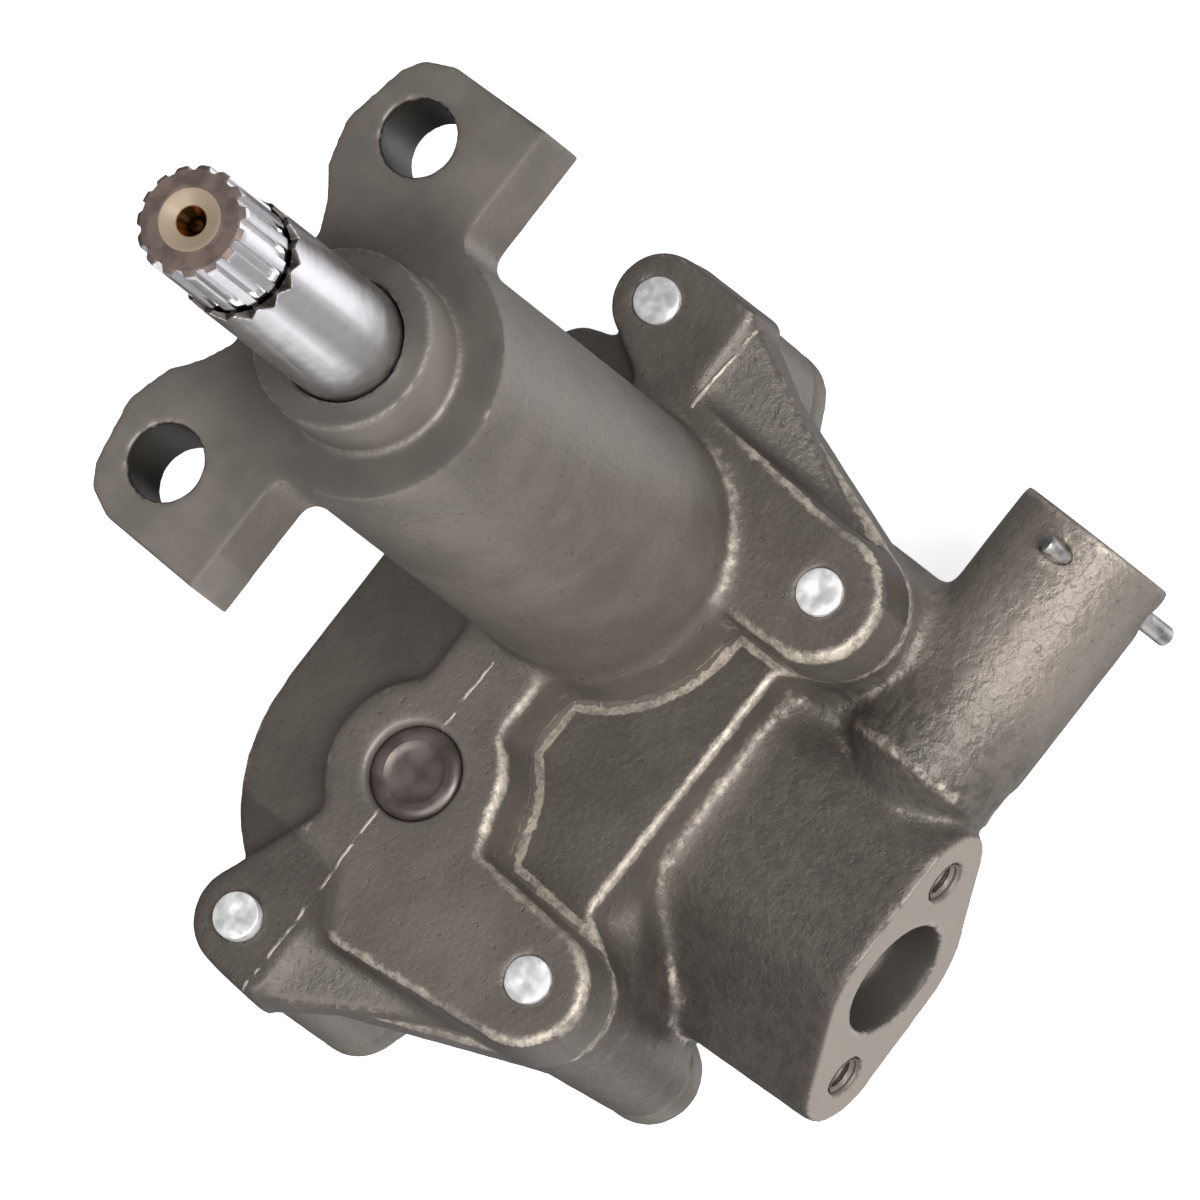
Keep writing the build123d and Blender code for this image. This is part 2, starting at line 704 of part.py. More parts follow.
write(shaft_bushing(upper_bushing_foot_z, bushing_top_z), "upper_shaft_bushing")
write(shaft_bushing(joint_z + 0.5, lower_bushing_top_z), "lower_shaft_bushing")
write(shaft_bushing(cover_bore_z, cover_joint_z - 0.1), "cover_shaft_bushing")


# ---- relief valve: a sprung plunger, held in by a grooved plug and its lock pin --------------------
plug_section = Plane((0, relief_y, relief_z), x_dir=(1, 0, 0), z_dir=(0, 0, 1))
plunger_section = Plane((relief_seat_x, relief_y, relief_z), x_dir=(1, 0, 0), z_dir=(0, 0, 1))
valve_axis = Axis((0, relief_y, relief_z), (1, 0, 0))
plunger_radius = relief_bore_radius - running_gap
plug_radius = relief_bore_radius - seat_gap
plug_end_x = relief_end_x - 1.2
plug_groove_radius = lock_pin_offset - lock_pin_radius - 0.05
plug_groove_half_width = lock_pin_radius + 0.1
dimple_radius = 3.7        # blind hole in the plug's outer end
dimple_depth = 4.0
plunger_floor = 4.0        # from the plunger's nose to the bottom of its pocket
spring_foot_x = relief_seat_x + plunger_floor
spring_wire_radius = 0.8
spring_radius = 5.0
spring_turns = 6
steps_per_turn = 16

with BuildPart() as relief_plunger:
    with BuildSketch(plunger_section):
        with BuildLine():
            Polyline((running_gap, 0), (running_gap, 5.2), (2, 7.4), (2, plunger_radius),
                     (plunger_length, plunger_radius), (plunger_length, 6.4), (plunger_floor, 6.4),
                     (plunger_floor, 0), close=True)
        make_face()
    revolve(axis=valve_axis)
write(relief_plunger, "relief_plunger")

with BuildPart() as relief_plug:
    with BuildSketch(plug_section):
        with BuildLine():
            Polyline((plug_face_x, 0), (plug_face_x, plug_radius),
                     (lock_pin_x - plug_groove_half_width, plug_radius),
                     (lock_pin_x - plug_groove_half_width, plug_groove_radius),
                     (lock_pin_x + plug_groove_half_width, plug_groove_radius),
                     (lock_pin_x + plug_groove_half_width, plug_radius),
                     (plug_end_x - 0.8, plug_radius), (plug_end_x, plug_radius - 0.8),
                     (plug_end_x, dimple_radius), (plug_end_x - dimple_depth, dimple_radius),
                     (plug_end_x - dimple_depth, 0), close=True)
        make_face()
    revolve(axis=valve_axis)
write(relief_plug, "relief_plug")

spring_length = plug_face_x - spring_foot_x - 2 * spring_wire_radius - 0.2
spring_start_x = spring_foot_x + spring_wire_radius + 0.1
helix_points = []
for step in range(spring_turns * steps_per_turn + 1):
    turn = 2 * math.pi * step / steps_per_turn
    along = spring_start_x + spring_length * step / (spring_turns * steps_per_turn)
    helix_points.append((along, relief_y + spring_radius * math.cos(turn),
                         relief_z + spring_radius * math.sin(turn)))

with BuildPart() as relief_spring:
    with BuildLine() as spring_path:
        Polyline(*helix_points)
    with BuildSketch(Plane(helix_points[0], z_dir=spring_path.line % 0)):
        RegularPolygon(spring_wire_radius, 6)
    sweep(transition=Transition.RIGHT)
write(relief_spring, "relief_spring")

with BuildPart() as relief_lock_pin:
    with BuildSketch(pin_plane.offset(-lock_pin_above)):
        Circle(lock_pin_radius)
    extrude(amount=lock_pin_above + lock_pin_below)
    chamfer(relief_lock_pin.edges().filter_by(GeomType.CIRCLE), 0.3)
write(relief_lock_pin, "relief_lock_pin")


# ---- fasteners ------------------------------------------------------------------------------------------
head_z = cover_bottom_z + counterbore_depth - washer_thickness

with BuildPart() as cover_bolts:
    with BuildSketch(Plane.XY.offset(head_z)):
        with Locations(*bolt_places):
            Circle(bolt_radius)
    extrude(amount=plateau_z - 0.4 - head_z)
    chamfer(cover_bolts.edges().group_by(Axis.Z)[-1], 0.5)
    with BuildSketch(Plane.XY.offset(head_z)):
        with Locations(*bolt_places):
            Circle(head_radius)
    extrude(amount=-head_height)
    with BuildSketch(Plane.XY.offset(head_z - head_height)):
        with Locations(*bolt_places):
            RegularPolygon(socket_half_width, 6, major_radius=False)
    extrude(amount=socket_depth, mode=Mode.SUBTRACT)
write(cover_bolts, "cover_bolts")

with BuildPart() as bolt_washers:
    with BuildSketch(Plane.XY.offset(head_z)):
        with Locations(*bolt_places):
            Circle(head_radius)
            Circle(4.3, mode=Mode.SUBTRACT)
    extrude(amount=washer_thickness)
write(bolt_washers, "bolt_washers")


def ring_dowels(level, depth_below):
    """Two hollow dowels round opposite bolts, which locate the castings on each other."""
    with BuildPart() as rings:
        with BuildSketch(Plane.XY.offset(level - depth_below + 0.2)):
            with Locations(*dowel_places):
                Circle(dowel_radius - seat_gap)
                Circle(dowel_radius - 1.3, mode=Mode.SUBTRACT)
        extrude(amount=dowel_depth + depth_below - 0.4)
    return rings


write(ring_dowels(joint_z, dowel_depth), "housing_dowels")
write(ring_dowels(cover_joint_z, cover_dowel_depth), "cover_dowels")
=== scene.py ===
import json
import math

import bmesh
import bpy
import numpy as np
from bpy.props import FloatProperty, FloatVectorProperty, IntProperty, PointerProperty
from mathutils import Matrix, Vector


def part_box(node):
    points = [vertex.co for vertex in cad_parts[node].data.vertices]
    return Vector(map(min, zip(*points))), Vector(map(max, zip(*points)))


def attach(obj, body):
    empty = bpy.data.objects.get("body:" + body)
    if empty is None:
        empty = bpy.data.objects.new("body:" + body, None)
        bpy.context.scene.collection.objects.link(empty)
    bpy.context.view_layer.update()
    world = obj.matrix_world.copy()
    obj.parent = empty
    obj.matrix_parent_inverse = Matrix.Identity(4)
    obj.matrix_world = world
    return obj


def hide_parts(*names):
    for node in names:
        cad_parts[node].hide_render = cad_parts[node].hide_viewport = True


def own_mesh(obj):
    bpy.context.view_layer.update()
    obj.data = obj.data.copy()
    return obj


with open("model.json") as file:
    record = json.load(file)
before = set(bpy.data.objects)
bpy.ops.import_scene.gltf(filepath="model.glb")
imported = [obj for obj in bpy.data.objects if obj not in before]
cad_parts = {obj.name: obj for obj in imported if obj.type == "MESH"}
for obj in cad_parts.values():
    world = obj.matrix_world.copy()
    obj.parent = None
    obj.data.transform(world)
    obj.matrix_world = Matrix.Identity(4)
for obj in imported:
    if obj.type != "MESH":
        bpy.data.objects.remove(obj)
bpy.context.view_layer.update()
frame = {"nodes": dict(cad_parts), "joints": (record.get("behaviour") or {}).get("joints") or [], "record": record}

bl_info = {
    "name": "Engine Oil Pump",
    "version": (1, 0, 0),
    "blender": (4, 5, 0),
    "location": "View3D > Sidebar > Oil Pump",
    "description": "Dresses the oil pump's solids with cast iron, ground steel and zinc plate",
    "category": "Object",
}

MM = 0.001
record = frame["record"]
mounts = {mount["name"]: mount for mount in record["mounts"]}
joints = {joint["name"]: joint for joint in frame["joints"]}

# Places and sizes read from the frame, in metres
outlet_centre = np.array(mounts["outlet_port"]["pos_m"])
outlet_bore = mounts["outlet_port"]["dims"]["r_mm"] * MM
inlet_centre = np.array(mounts["inlet_port"]["pos_m"])
tapped_radius = mounts["outlet_bolts"]["dims"]["hole_r_mm"] * MM
ears = mounts["ear_bolts"]
ear_places = [ears["pos_m"][0] + side * ears["dims"]["spacing_x_mm"] * MM for side in (-0.5, 0.5)]
ear_y, ear_hole = ears["pos_m"][1], ears["dims"]["hole_r_mm"] * MM
idler_x = joints["idler_gear_spin"]["pos_m"][0]
joint_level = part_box("upper_housing")[0].z          # housing stands on the body
cover_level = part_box("bottom_cover")[1].z           # cover's top face
valve_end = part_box("pump_body")[1].x                # open end of the relief valve's cylinder
shaft_low, shaft_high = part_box("drive_shaft")
shaft_radius = shaft_high.x
pocket_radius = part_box("drive_gear")[1].x + 0.35 * MM

# Sizes of the castings that the frame doesn't name
barrel_radius = 22.8 * MM
plateau_level = joint_level + 12 * MM               # top of the upper housing's base
in_flange, below_flange, below_ears = -15 * MM, -20 * MM, -30 * MM
front_y = -30 * MM                                  # in front of it lie the outlet block and the valve
base_coarse = 0.12                                  # share of leathery skin that every casting has
above_pocket = -129.5 * MM                          # just over the gear pocket's roof
bushing_bore = 14.0 * MM                            # takes in the drive shaft's bores
idler_bore = 8.7 * MM
inlet_bore = 13.6 * MM
valve_bore = 9 * MM
bolt_radius, bolt_hole, bolt_seat = 4 * MM, 4.4 * MM, 6.9 * MM
washer_inner, head_radius = 4.3 * MM, 6.5 * MM

# Where the outlet block and the relief valve's neck run into the case: places in mm
block_corner = (-44.5, -38.0, -136.0)
valve_corner = (4.3, -38.5, -139.0)
filler_radius = 6.0                                 # ball that closes the slit at the valve's corner
melted_corners = ((block_corner, 5), (valve_corner, 7))     # with the radius that melts fully
melt_reach = 12 * MM

# Levels and radii of the drive shaft's spline
notch_level, neck_level, spline_level = 61.4 * MM, 64.0 * MM, 65.0 * MM
groove_floor, spline_radius, neck_mouth = 8.1 * MM, 9.3 * MM, 9.9 * MM
centre_hole, centre_bevel, end_face = 1.1 * MM, 2.5 * MM, 5.0 * MM

merge_distance = 1e-6
turned_crease, cast_crease = math.radians(35), math.radians(38)
lattice_primes = np.array([73856093, 19349663, 83492791])
seed_prime = 2654435

# ---- noise and mesh helpers ----------------------------------------------------------------------


def lattice_noise(points, cell, seed):
    """Smooth noise in -1..1: random values at the corners of a cubic lattice of the given cell,
    blended along each axis with the weight 3t^2 - 2t^3."""
    scaled = points / cell
    corner = np.floor(scaled).astype(np.int64)
    part = scaled - corner
    weight = part * part * (3 - 2 * part)
    total = np.zeros(len(points))
    for step in np.ndindex(2, 2, 2):
        mixed = np.bitwise_xor.reduce((corner + step) * lattice_primes, axis=1) ^ (seed * seed_prime)
        value = ((mixed * 1103515245 + 12345) & 0x7FFFFFFF) / 0x7FFFFFFF * 2 - 1
        share = np.where(step, weight, 1 - weight)
        total += value * (share[:, 0] * share[:, 1] * share[:, 2])
    return total


def smooth_step(value, low, high):
    """0 below low, 1 above high, and 3t^2 - 2t^3 between them."""
    part = np.clip((value - low) / (high - low), 0, 1)
    return part * part * (3 - 2 * part)


def read_rows(items, name):
    """One row of three numbers for each of a mesh's items."""
    values = np.empty(len(items) * 3, np.float32)
    items.foreach_get(name, values)
    return values.reshape(-1, 3).astype(float)


def get_coords(mesh):
    """Vertex coordinates as an array of one row each."""
    return read_rows(mesh.vertices, "co")


def get_normals(mesh):
    """Vertex normals as an array of one row each."""
    return read_rows(mesh.vertex_normals, "vector")


def set_coords(mesh, coords):
    """Write vertex coordinates back."""
    mesh.vertices.foreach_set("co", coords.astype(np.float32).ravel())
    mesh.update()


def store_mask(mesh, name, values):
    """Keep one number per vertex as a float attribute, which the materials read."""
    attribute = mesh.attributes.new(name, "FLOAT", "POINT")
    attribute.data.foreach_set("value", values.astype(np.float32))


def mesh_edges(mesh):
    """Vertex pairs of the edges, and how many neighbours each vertex has."""
    edges = np.empty(len(mesh.edges) * 2, np.int32)
    mesh.edges.foreach_get("vertices", edges)
    counts = np.bincount(edges, minlength=len(mesh.vertices)).clip(1)
    return edges.reshape(-1, 2), counts


def neighbour_mean(values, edges, counts):
    """Mean of each vertex's neighbours, column by column, summed over the mesh's edges."""
    total = np.zeros_like(values)
    for column in range(values.shape[1]):
        total[:, column] = np.bincount(edges[:, 0], values[edges[:, 1], column], len(values))
        total[:, column] += np.bincount(edges[:, 1], values[edges[:, 0], column], len(values))
    return total / counts[:, None]


def relax(mesh, coords, weight, rounds, fillet_rounds=0):
    """Laplacian smoothing: each round moves a vertex half way, times its weight, to its neighbours' mean.
    The first rounds only move outwards, which fills inner corners; the last ones round every edge."""
    edges, counts = mesh_edges(mesh)
    least_fill = 0.004 * MM
    for step in range(fillet_rounds + rounds):
        move = (neighbour_mean(coords, edges, counts) - coords) * 0.5 * weight[:, None]
        if step < fillet_rounds:
            set_coords(mesh, coords)
            outward = (move * get_normals(mesh)).sum(1)
            move *= smooth_step(outward, 0.0, least_fill)[:, None]
        coords = coords + move
    return coords


def linked_object(name, data):
    """An object that shows a mesh, a light or a camera, put into the scene."""
    item = bpy.data.objects.new(name, data)
    bpy.context.scene.collection.objects.link(item)
    return item


def new_object(name, mesh, body, material):
    """Link a finished mesh, give it the material of that name, and let it ride on a body."""
    piece = linked_object(name, mesh)
    mesh.materials.append(bpy.data.materials[material])
    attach(piece, body)
    return piece


def smooth_mesh(name, points, faces):
    """A smoothly shaded mesh of an array of points and a list of faces."""
    mesh = bpy.data.meshes.new(name)
    mesh.from_pydata(points.tolist(), [], faces)
    mesh.shade_smooth()
    mesh.update()
    return mesh


def grid_mesh(name, surface):
    """Mesh over a grid of points, of shape (rows, columns, 3). The first and last rows are poles,
    each merged to one point. Faces join row i to row i + 1, and the last column to the first."""
    rows, columns, _ = surface.shape
    ring = surface[1:-1]
    points = np.concatenate([surface[:1, 0], ring.reshape(-1, 3), surface[-1:, 0]])
    index = 1 + np.arange((rows - 2) * columns).reshape(rows - 2, columns)
    right = np.roll(index, -1, axis=1)
    quads = np.stack([index[:-1], right[:-1], right[1:], index[1:]], axis=-1).reshape(-1, 4)
    first = np.stack([np.zeros(columns, int), right[0], index[0]], axis=-1)
    last = np.stack([np.full(columns, len(points) - 1), index[-1], right[-1]], axis=-1)
    return smooth_mesh(name, points, quads.tolist() + first.tolist() + last.tolist())


def ring_mesh(name, surface):
    """Mesh over a grid that closes on itself both ways, such as a ring's section turned about an axis."""
    rows, columns, _ = surface.shape
    index = np.arange(rows * columns).reshape(rows, columns)
    right, below = np.roll(index, -1, axis=1), np.roll(index, -1, axis=0)
    quads = np.stack([index, right, np.roll(right, -1, axis=0), below], axis=-1).reshape(-1, 4)
    return smooth_mesh(name, surface.reshape(-1, 3), quads.tolist())


def lathe(radius, height, columns, origin, axis, modulate=None):
    """Surface of revolution: point = origin + axis * height + radius * (cos a * u + sin a * v), for a
    profile of (radius, height) rows. modulate(angle, height, radius) may change the radius."""
    axis = np.array(axis, float)
    axis /= np.linalg.norm(axis)
    helper = np.array([1.0, 0, 0]) if abs(axis[0]) < 0.9 else np.array([0, 1.0, 0])
    v = np.cross(axis, helper)
    v /= np.linalg.norm(v)
    u = np.cross(v, axis)
    angle = np.linspace(0, 2 * math.pi, columns, endpoint=False)
    ring = np.cos(angle)[None, :, None] * u + np.sin(angle)[None, :, None] * v
    radius, height, angle = np.broadcast_arrays(np.array(radius)[:, None], np.array(height)[:, None], angle)
    if modulate:
        radius = modulate(angle, height, radius)
    return np.array(origin) + axis * height[..., None] + ring * radius[..., None]


def profile(corners, step):
    """Radius and height rows along a polyline of (radius, height) corners, no further apart than step."""
    radius, height = [corners[0][0]], [corners[0][1]]
    for (r0, h0), (r1, h1) in zip(corners, corners[1:]):
        count = max(1, int(math.ceil(math.hypot(r1 - r0, h1 - h0) / step)))
        part = np.linspace(0, 1, count + 1)[1:]
        radius.extend(r0 + (r1 - r0) * part)
        height.extend(h0 + (h1 - h0) * part)
    return np.array(radius), np.array(height)


def join_meshes(name, meshes):
    """One mesh that holds several, with their faces turned outwards."""
    joined = bmesh.new()
    for mesh in meshes:
        joined.from_mesh(mesh)
        bpy.data.meshes.remove(mesh)
    bmesh.ops.recalc_face_normals(joined, faces=joined.faces)
    result = bpy.data.meshes.new(name)
    joined.to_mesh(result)
    joined.free()
    result.set_sharp_from_angle(angle=turned_crease)
    return result


def joined_object(name, meshes, body, material):
    """One finished object that holds several meshes."""
    return new_object(name, join_meshes(name, meshes), body, material)


def baked(piece):
    """A new mesh of an object as its modifiers leave it."""
    graph = bpy.context.evaluated_depsgraph_get()
    graph.update()
    return bpy.data.meshes.new_from_object(piece.evaluated_get(graph))


def drop(*pieces):
    """Remove scratch objects with their meshes."""
    for piece in pieces:
        mesh = piece.data
        bpy.data.objects.remove(piece)
        bpy.data.meshes.remove(mesh)


# ---- materials -----------------------------------------------------------------------------------


def srgb(red, green, blue):
    """Linear colour of an 8-bit display colour."""
    values = [channel / 255 for channel in (red, green, blue)]
    linear = [v / 12.92 if v <= 0.04045 else ((v + 0.055) / 1.055) ** 2.4 for v in values]
    return (*linear, 1.0)


class Tree:
    """Adds nodes to a node tree and links them, so that a material reads as a list of steps."""

    def __init__(self, tree):
        self.tree = tree
        self.tree.nodes.clear()

    def put(self, socket, value):
        """Link a socket to another, or set its value."""
        if isinstance(value, bpy.types.NodeSocket):
            self.tree.links.new(value, socket)
        else:
            socket.default_value = value

    def fill(self, node, inputs):
        """Link or set several of a node's inputs."""
        for key, value in inputs.items():
            self.put(node.inputs[key], value)
        return node

    def node(self, kind, inputs=None, **settings):
        """A node with its settings and inputs."""
        node = self.tree.nodes.new("ShaderNode" + kind)
        for name, value in settings.items():
            setattr(node, name, value)
        return self.fill(node, inputs or {})

    def group(self, name):
        """A node that stands for a group."""
        return self.node("Group", node_tree=bpy.data.node_groups[name])

    def place(self):
        """Object coordinates."""
        return self.node("TexCoord").outputs["Object"]

    def off_axis(self, place):
        """Distance of a place from the drive shaft's axis."""
        flat = self.node("VectorMath", {0: place, 1: (1, 1, 0)}, operation="MULTIPLY").outputs["Vector"]
        return self.node("VectorMath", {0: flat}, operation="LENGTH").outputs["Value"]

    def noise(self, vector, scale, detail=2.0, roughness=0.5):
        """Value of a noise texture, about 0.5 on average."""
        inputs = {"Vector": vector, "Scale": scale, "Detail": detail, "Roughness": roughness}
        return self.node("TexNoise", inputs).outputs["Fac"]

    def ramp(self, value, low, high, to_low=0.0, to_high=1.0):
        """A value spread from low..high to new ends, with smooth shoulders."""
        inputs = {"Value": value, "From Min": low, "From Max": high, "To Min": to_low, "To Max": to_high}
        return self.node("MapRange", inputs, interpolation_type="SMOOTHSTEP").outputs["Result"]

    def math(self, operation, first, second=0.0):
        """One arithmetic step."""
        return self.node("Math", {0: first, 1: second}, operation=operation).outputs[0]

    def product(self, first, second):
        """Two values multiplied."""
        return self.math("MULTIPLY", first, second)

    def mix(self, share, first, second):
        """A colour between two others."""
        return self.node("Mix", {"Factor": share, 6: first, 7: second}, data_type="RGBA").outputs[2]

    def stained(self, base, *stains):
        """A colour with others laid over it, each by its own share."""
        for share, stain in stains:
            base = self.mix(share, base, stain)
        return base

    def attribute(self, name):
        """A number kept on the mesh."""
        return self.node("Attribute", attribute_name=name).outputs["Fac"]


def new_group(name, inputs, outputs):
    """An empty node group whose sockets are numbers, as its tree, input node and output node."""
    group = bpy.data.node_groups.new(name, "ShaderNodeTree")
    for label in inputs:
        group.interface.new_socket(label, in_out="INPUT", socket_type="NodeSocketFloat").default_value = 1.0
    for label in outputs:
        group.interface.new_socket(label, in_out="OUTPUT", socket_type="NodeSocketFloat")
    tree = Tree(group)
    return tree, group.nodes.new("NodeGroupInput"), group.nodes.new("NodeGroupOutput")


def grain_group(settings):
    """Node group: a casting's sand grain as a height, and as masks its lighter and darker patches,
    specks, pits and the coarse leathery skin of its thick parts."""
    tree, entry, leave = new_group("Cast Grain", ["Fineness"],
                                   ["Height", "Patches", "Specks", "Pits", "Leather"])
    place = tree.place()
    fine = tree.product(entry.outputs["Fineness"], 1 / settings.grain_size)
    patches = tree.noise(place, 1 / settings.patch_size, detail=4.0, roughness=0.62)
    specks = tree.noise(place, tree.product(fine, 1.9), detail=1.0)
    pits = tree.noise(place, tree.product(fine, 0.9), detail=2.0)
    leather = tree.noise(place, 1 / settings.leather_size, detail=3.0, roughness=0.6)
    tree.fill(leave, {
        "Height": tree.noise(place, fine, detail=3.0, roughness=0.6),
        "Patches": tree.ramp(patches, 0.38, 0.64),
        "Specks": tree.ramp(specks, 0.60, 0.74),
        "Pits": tree.ramp(pits, 0.26, 0.36, 1.0, 0.0),
        "Leather": tree.ramp(leather, 0.36, 0.62)})


def wear_and_highlight_group():
    """Node group: where handling and blasting have left a casting bright, and a painted highlight along its edges
    and in its hollow fillets, from the mesh's edge and hollow attributes. Noise makes its border ragged and breaks
    it into stretches."""
    tree, entry, leave = new_group("Edge Wear And Highlight", ["Amount"], ["Worn"])
    place = tree.place()
    crumbs = tree.ramp(tree.noise(place, 620.0, detail=4.0, roughness=0.7), 0.36, 0.58, 0.40, 1.0)
    stretches = tree.ramp(tree.noise(place, 90.0, detail=2.0), 0.30, 0.60, 0.45, 1.0)
    # edge and hollow: bright wear on the edges, and painted highlight along the edges and in the hollows
    bent = tree.math("MAXIMUM", tree.attribute("edge"), tree.product(tree.attribute("hollow"), 0.95))
    ragged = tree.math("SUBTRACT", tree.noise(place, 480.0, detail=5.0, roughness=0.65), 0.5)
    worn = tree.ramp(tree.math("ADD", bent, tree.product(ragged, 0.9)), 0.26, 0.62)
    worn = tree.product(worn, tree.ramp(bent, 0.06, 0.20))
    amount = tree.product(worn, entry.outputs["Amount"])
    tree.fill(leave, {"Worn": tree.product(amount, tree.product(crumbs, stretches))})


def parting_group():
    """Node group: the ridge that the mould's parting left across the upper housing's pads."""
    tree, _, leave = new_group("Parting Line", [], ["Ridge"])
    ridge_y, wander, core, skirt, near_pads = 0.8 * MM, 1.2 * MM, 0.12 * MM, 0.42 * MM, 2.2 * MM
    place = tree.place()
    _, along, up = tree.node("SeparateXYZ", {0: place}).outputs
    drift = tree.product(tree.math("SUBTRACT", tree.noise(place, 180.0), 0.5), wander)
    off = tree.math("ABSOLUTE", tree.math("ADD", tree.math("SUBTRACT", along, ridge_y), drift))
    line = tree.ramp(off, core, skirt, 1.0, 0.0)
    level = tree.math("ABSOLUTE", tree.math("SUBTRACT", up, plateau_level))
    level = tree.math("LESS_THAN", level, near_pads)
    outside = tree.math("GREATER_THAN", tree.off_axis(place), barrel_radius + 3 * MM)
    broken = tree.ramp(tree.noise(place, 330.0, detail=3.0), 0.38, 0.56)
    tree.fill(leave, {"Ridge": tree.product(tree.product(line, level), tree.product(outside, broken))})


def new_material(name):
    """The tree of a new material, and the Principled shader wired to its surface."""
    material = bpy.data.materials.new(name)
    material.use_nodes = True
    tree = Tree(material.node_tree)
    shader = tree.node("BsdfPrincipled")
    tree.node("OutputMaterial", {"Surface": shader.outputs["BSDF"]})
    return tree, shader


def cast_iron(settings):
    """Oiled sand-cast iron: brown grey, worn bright along its edges with a painted highlight there and in its
    hollows, cut smooth on machined faces. The mesh's tone makes it lighter above 0 and darker below, and so does
    pale on machined faces; besides the iron's own tone they carry painted light and painted shade."""
    leather_share, speck_share, pit_share, ridge_share = 0.22, 0.14, 0.4, 0.75
    leather_height, ridge_height, pit_depth = 0.7, 1.5, 0.35
    tree, shader = new_material("Cast Iron")
    grain = tree.group("Cast Grain").outputs
    cast, pale, tone = (tree.attribute(name) for name in ("cast", "pale", "tone"))
    darker = tree.product(tone, -1.0)
    leather = tree.product(grain["Leather"], tree.attribute("coarse"))
    skin = tree.stained(
        tree.mix(grain["Patches"], settings.iron_dark, settings.iron_light),
        # tone and darker: the iron's own tone, with painted light on the relief valve and painted shade on the
        # webs and on the body's open top
        (tone, srgb(136, 127, 119)),
        (darker, srgb(58, 54, 49)),
        (tree.product(leather, leather_share), srgb(140, 131, 122)),
        (tree.product(grain["Specks"], speck_share), srgb(140, 131, 120)),
        (tree.product(grain["Pits"], pit_share), srgb(60, 55, 49)))
    cut = tree.stained(
        tree.mix(grain["Patches"], settings.cut_dark, settings.cut_light),
        (darker, srgb(52, 50, 45)),
        (pale, srgb(146, 137, 128)),
        # pale below 0: painted shade in the ear holes
        (tree.product(pale, -1.0), srgb(46, 43, 39)))
    ridge = tree.group("Parting Line").outputs["Ridge"]
    worn = tree.group("Edge Wear And Highlight").outputs["Worn"]
    # rubbed: bright wear and painted highlight along the edges and in the hollows
    rubbed = tree.math("MAXIMUM", worn, tree.product(ridge, ridge_share))
    height = tree.math("ADD", grain["Height"], tree.product(ridge, ridge_height))
    height = tree.math("ADD", height, tree.product(leather, leather_height))
    height = tree.math("SUBTRACT", height, tree.product(grain["Pits"], pit_depth))
    strength = tree.ramp(cast, 0.0, 1.0, 0.10, 0.55)
    bump = tree.node("Bump", {"Strength": strength, "Distance": 0.3 * MM, "Height": height})
    tree.fill(shader, {
        "Base Color": tree.mix(rubbed, tree.mix(cast, cut, skin), settings.worn_and_lit_colour),
        "Metallic": 0.45,
        "Roughness": tree.ramp(grain["Patches"], 0.0, 1.0, 0.46, 0.52),
        "Normal": bump.outputs["Normal"]})


def plain_metal(name, dark, light, roughness, metallic=1.0, scale=400.0, bump=0.04):
    """Machined metal whose colour and roughness drift a little."""
    tree, shader = new_material(name)
    drift = tree.noise(tree.place(), scale, detail=3.0)
    relief = tree.node("Bump", {"Strength": bump, "Distance": 0.2 * MM, "Height": drift})
    tree.fill(shader, {
        "Base Color": tree.mix(tree.ramp(drift, 0.35, 0.65), dark, light),
        "Metallic": metallic,
        "Roughness": tree.ramp(drift, 0.3, 0.7, roughness * 0.8, roughness * 1.25),
        "Normal": relief.outputs["Normal"]})


def shaft_steel(settings):
    """Ground drive shaft: bright and smooth, with a brown hardened end and a dull turned neck with painted shade
    in its groove and notches.
    """
    dull, less_metal = 0.5, 0.75
    tree, shader = new_material("Ground Shaft Steel")
    place = tree.place()
    height = tree.node("SeparateXYZ", {0: place}).outputs["Z"]
    radius = tree.off_axis(place)
    drift = tree.noise(place, 300.0, detail=3.0)
    end = tree.math("GREATER_THAN", height, shaft_high.z - 0.95 * MM)
    middle = tree.math("LESS_THAN", radius, end_face + 0.2 * MM)
    hole = tree.math("LESS_THAN", radius, centre_bevel + 0.12 * MM)
    neck = tree.ramp(radius, neck_mouth - 0.1 * MM, neck_mouth + 0.05 * MM, 1.0, 0.0)
    above = tree.math("GREATER_THAN", height, notch_level - 0.2 * MM)
    below = tree.math("LESS_THAN", height, spline_level + 0.15 * MM)
    neck = tree.product(neck, tree.product(above, below))
    hardened = tree.mix(tree.ramp(drift, 0.35, 0.65), srgb(86, 74, 69), srgb(108, 94, 87))
    colour = tree.stained(
        tree.mix(drift, settings.steel_dark, settings.steel_light),
        # neck: painted shade in the neck's groove and in the notches below it
        (neck, srgb(92, 86, 83)),
        (end, hardened),
        (tree.product(end, middle), srgb(150, 134, 114)),
        (tree.product(hole, above), srgb(104, 74, 42)))
    smooth = tree.ramp(drift, 0.3, 0.7, 0.20, 0.24)
    rough = tree.math("MAXIMUM", tree.product(end, dull), tree.product(neck, dull))
    tree.fill(shader, {
        "Base Color": colour,
        "Metallic": tree.math("SUBTRACT", 1.0, tree.product(end, less_metal)),
        "Anisotropic": 0.75,
        "Tangent": tree.node("CombineXYZ", {2: 1.0}).outputs[0],
        "Roughness": tree.math("MAXIMUM", smooth, rough)})


# ---- castings ------------------------------------------------------------------------------------


def near_line(coords, x, y, radius):
    """True within a radius of a line along Z."""
    return np.hypot(coords[:, 0] - x, coords[:, 1] - y) < radius


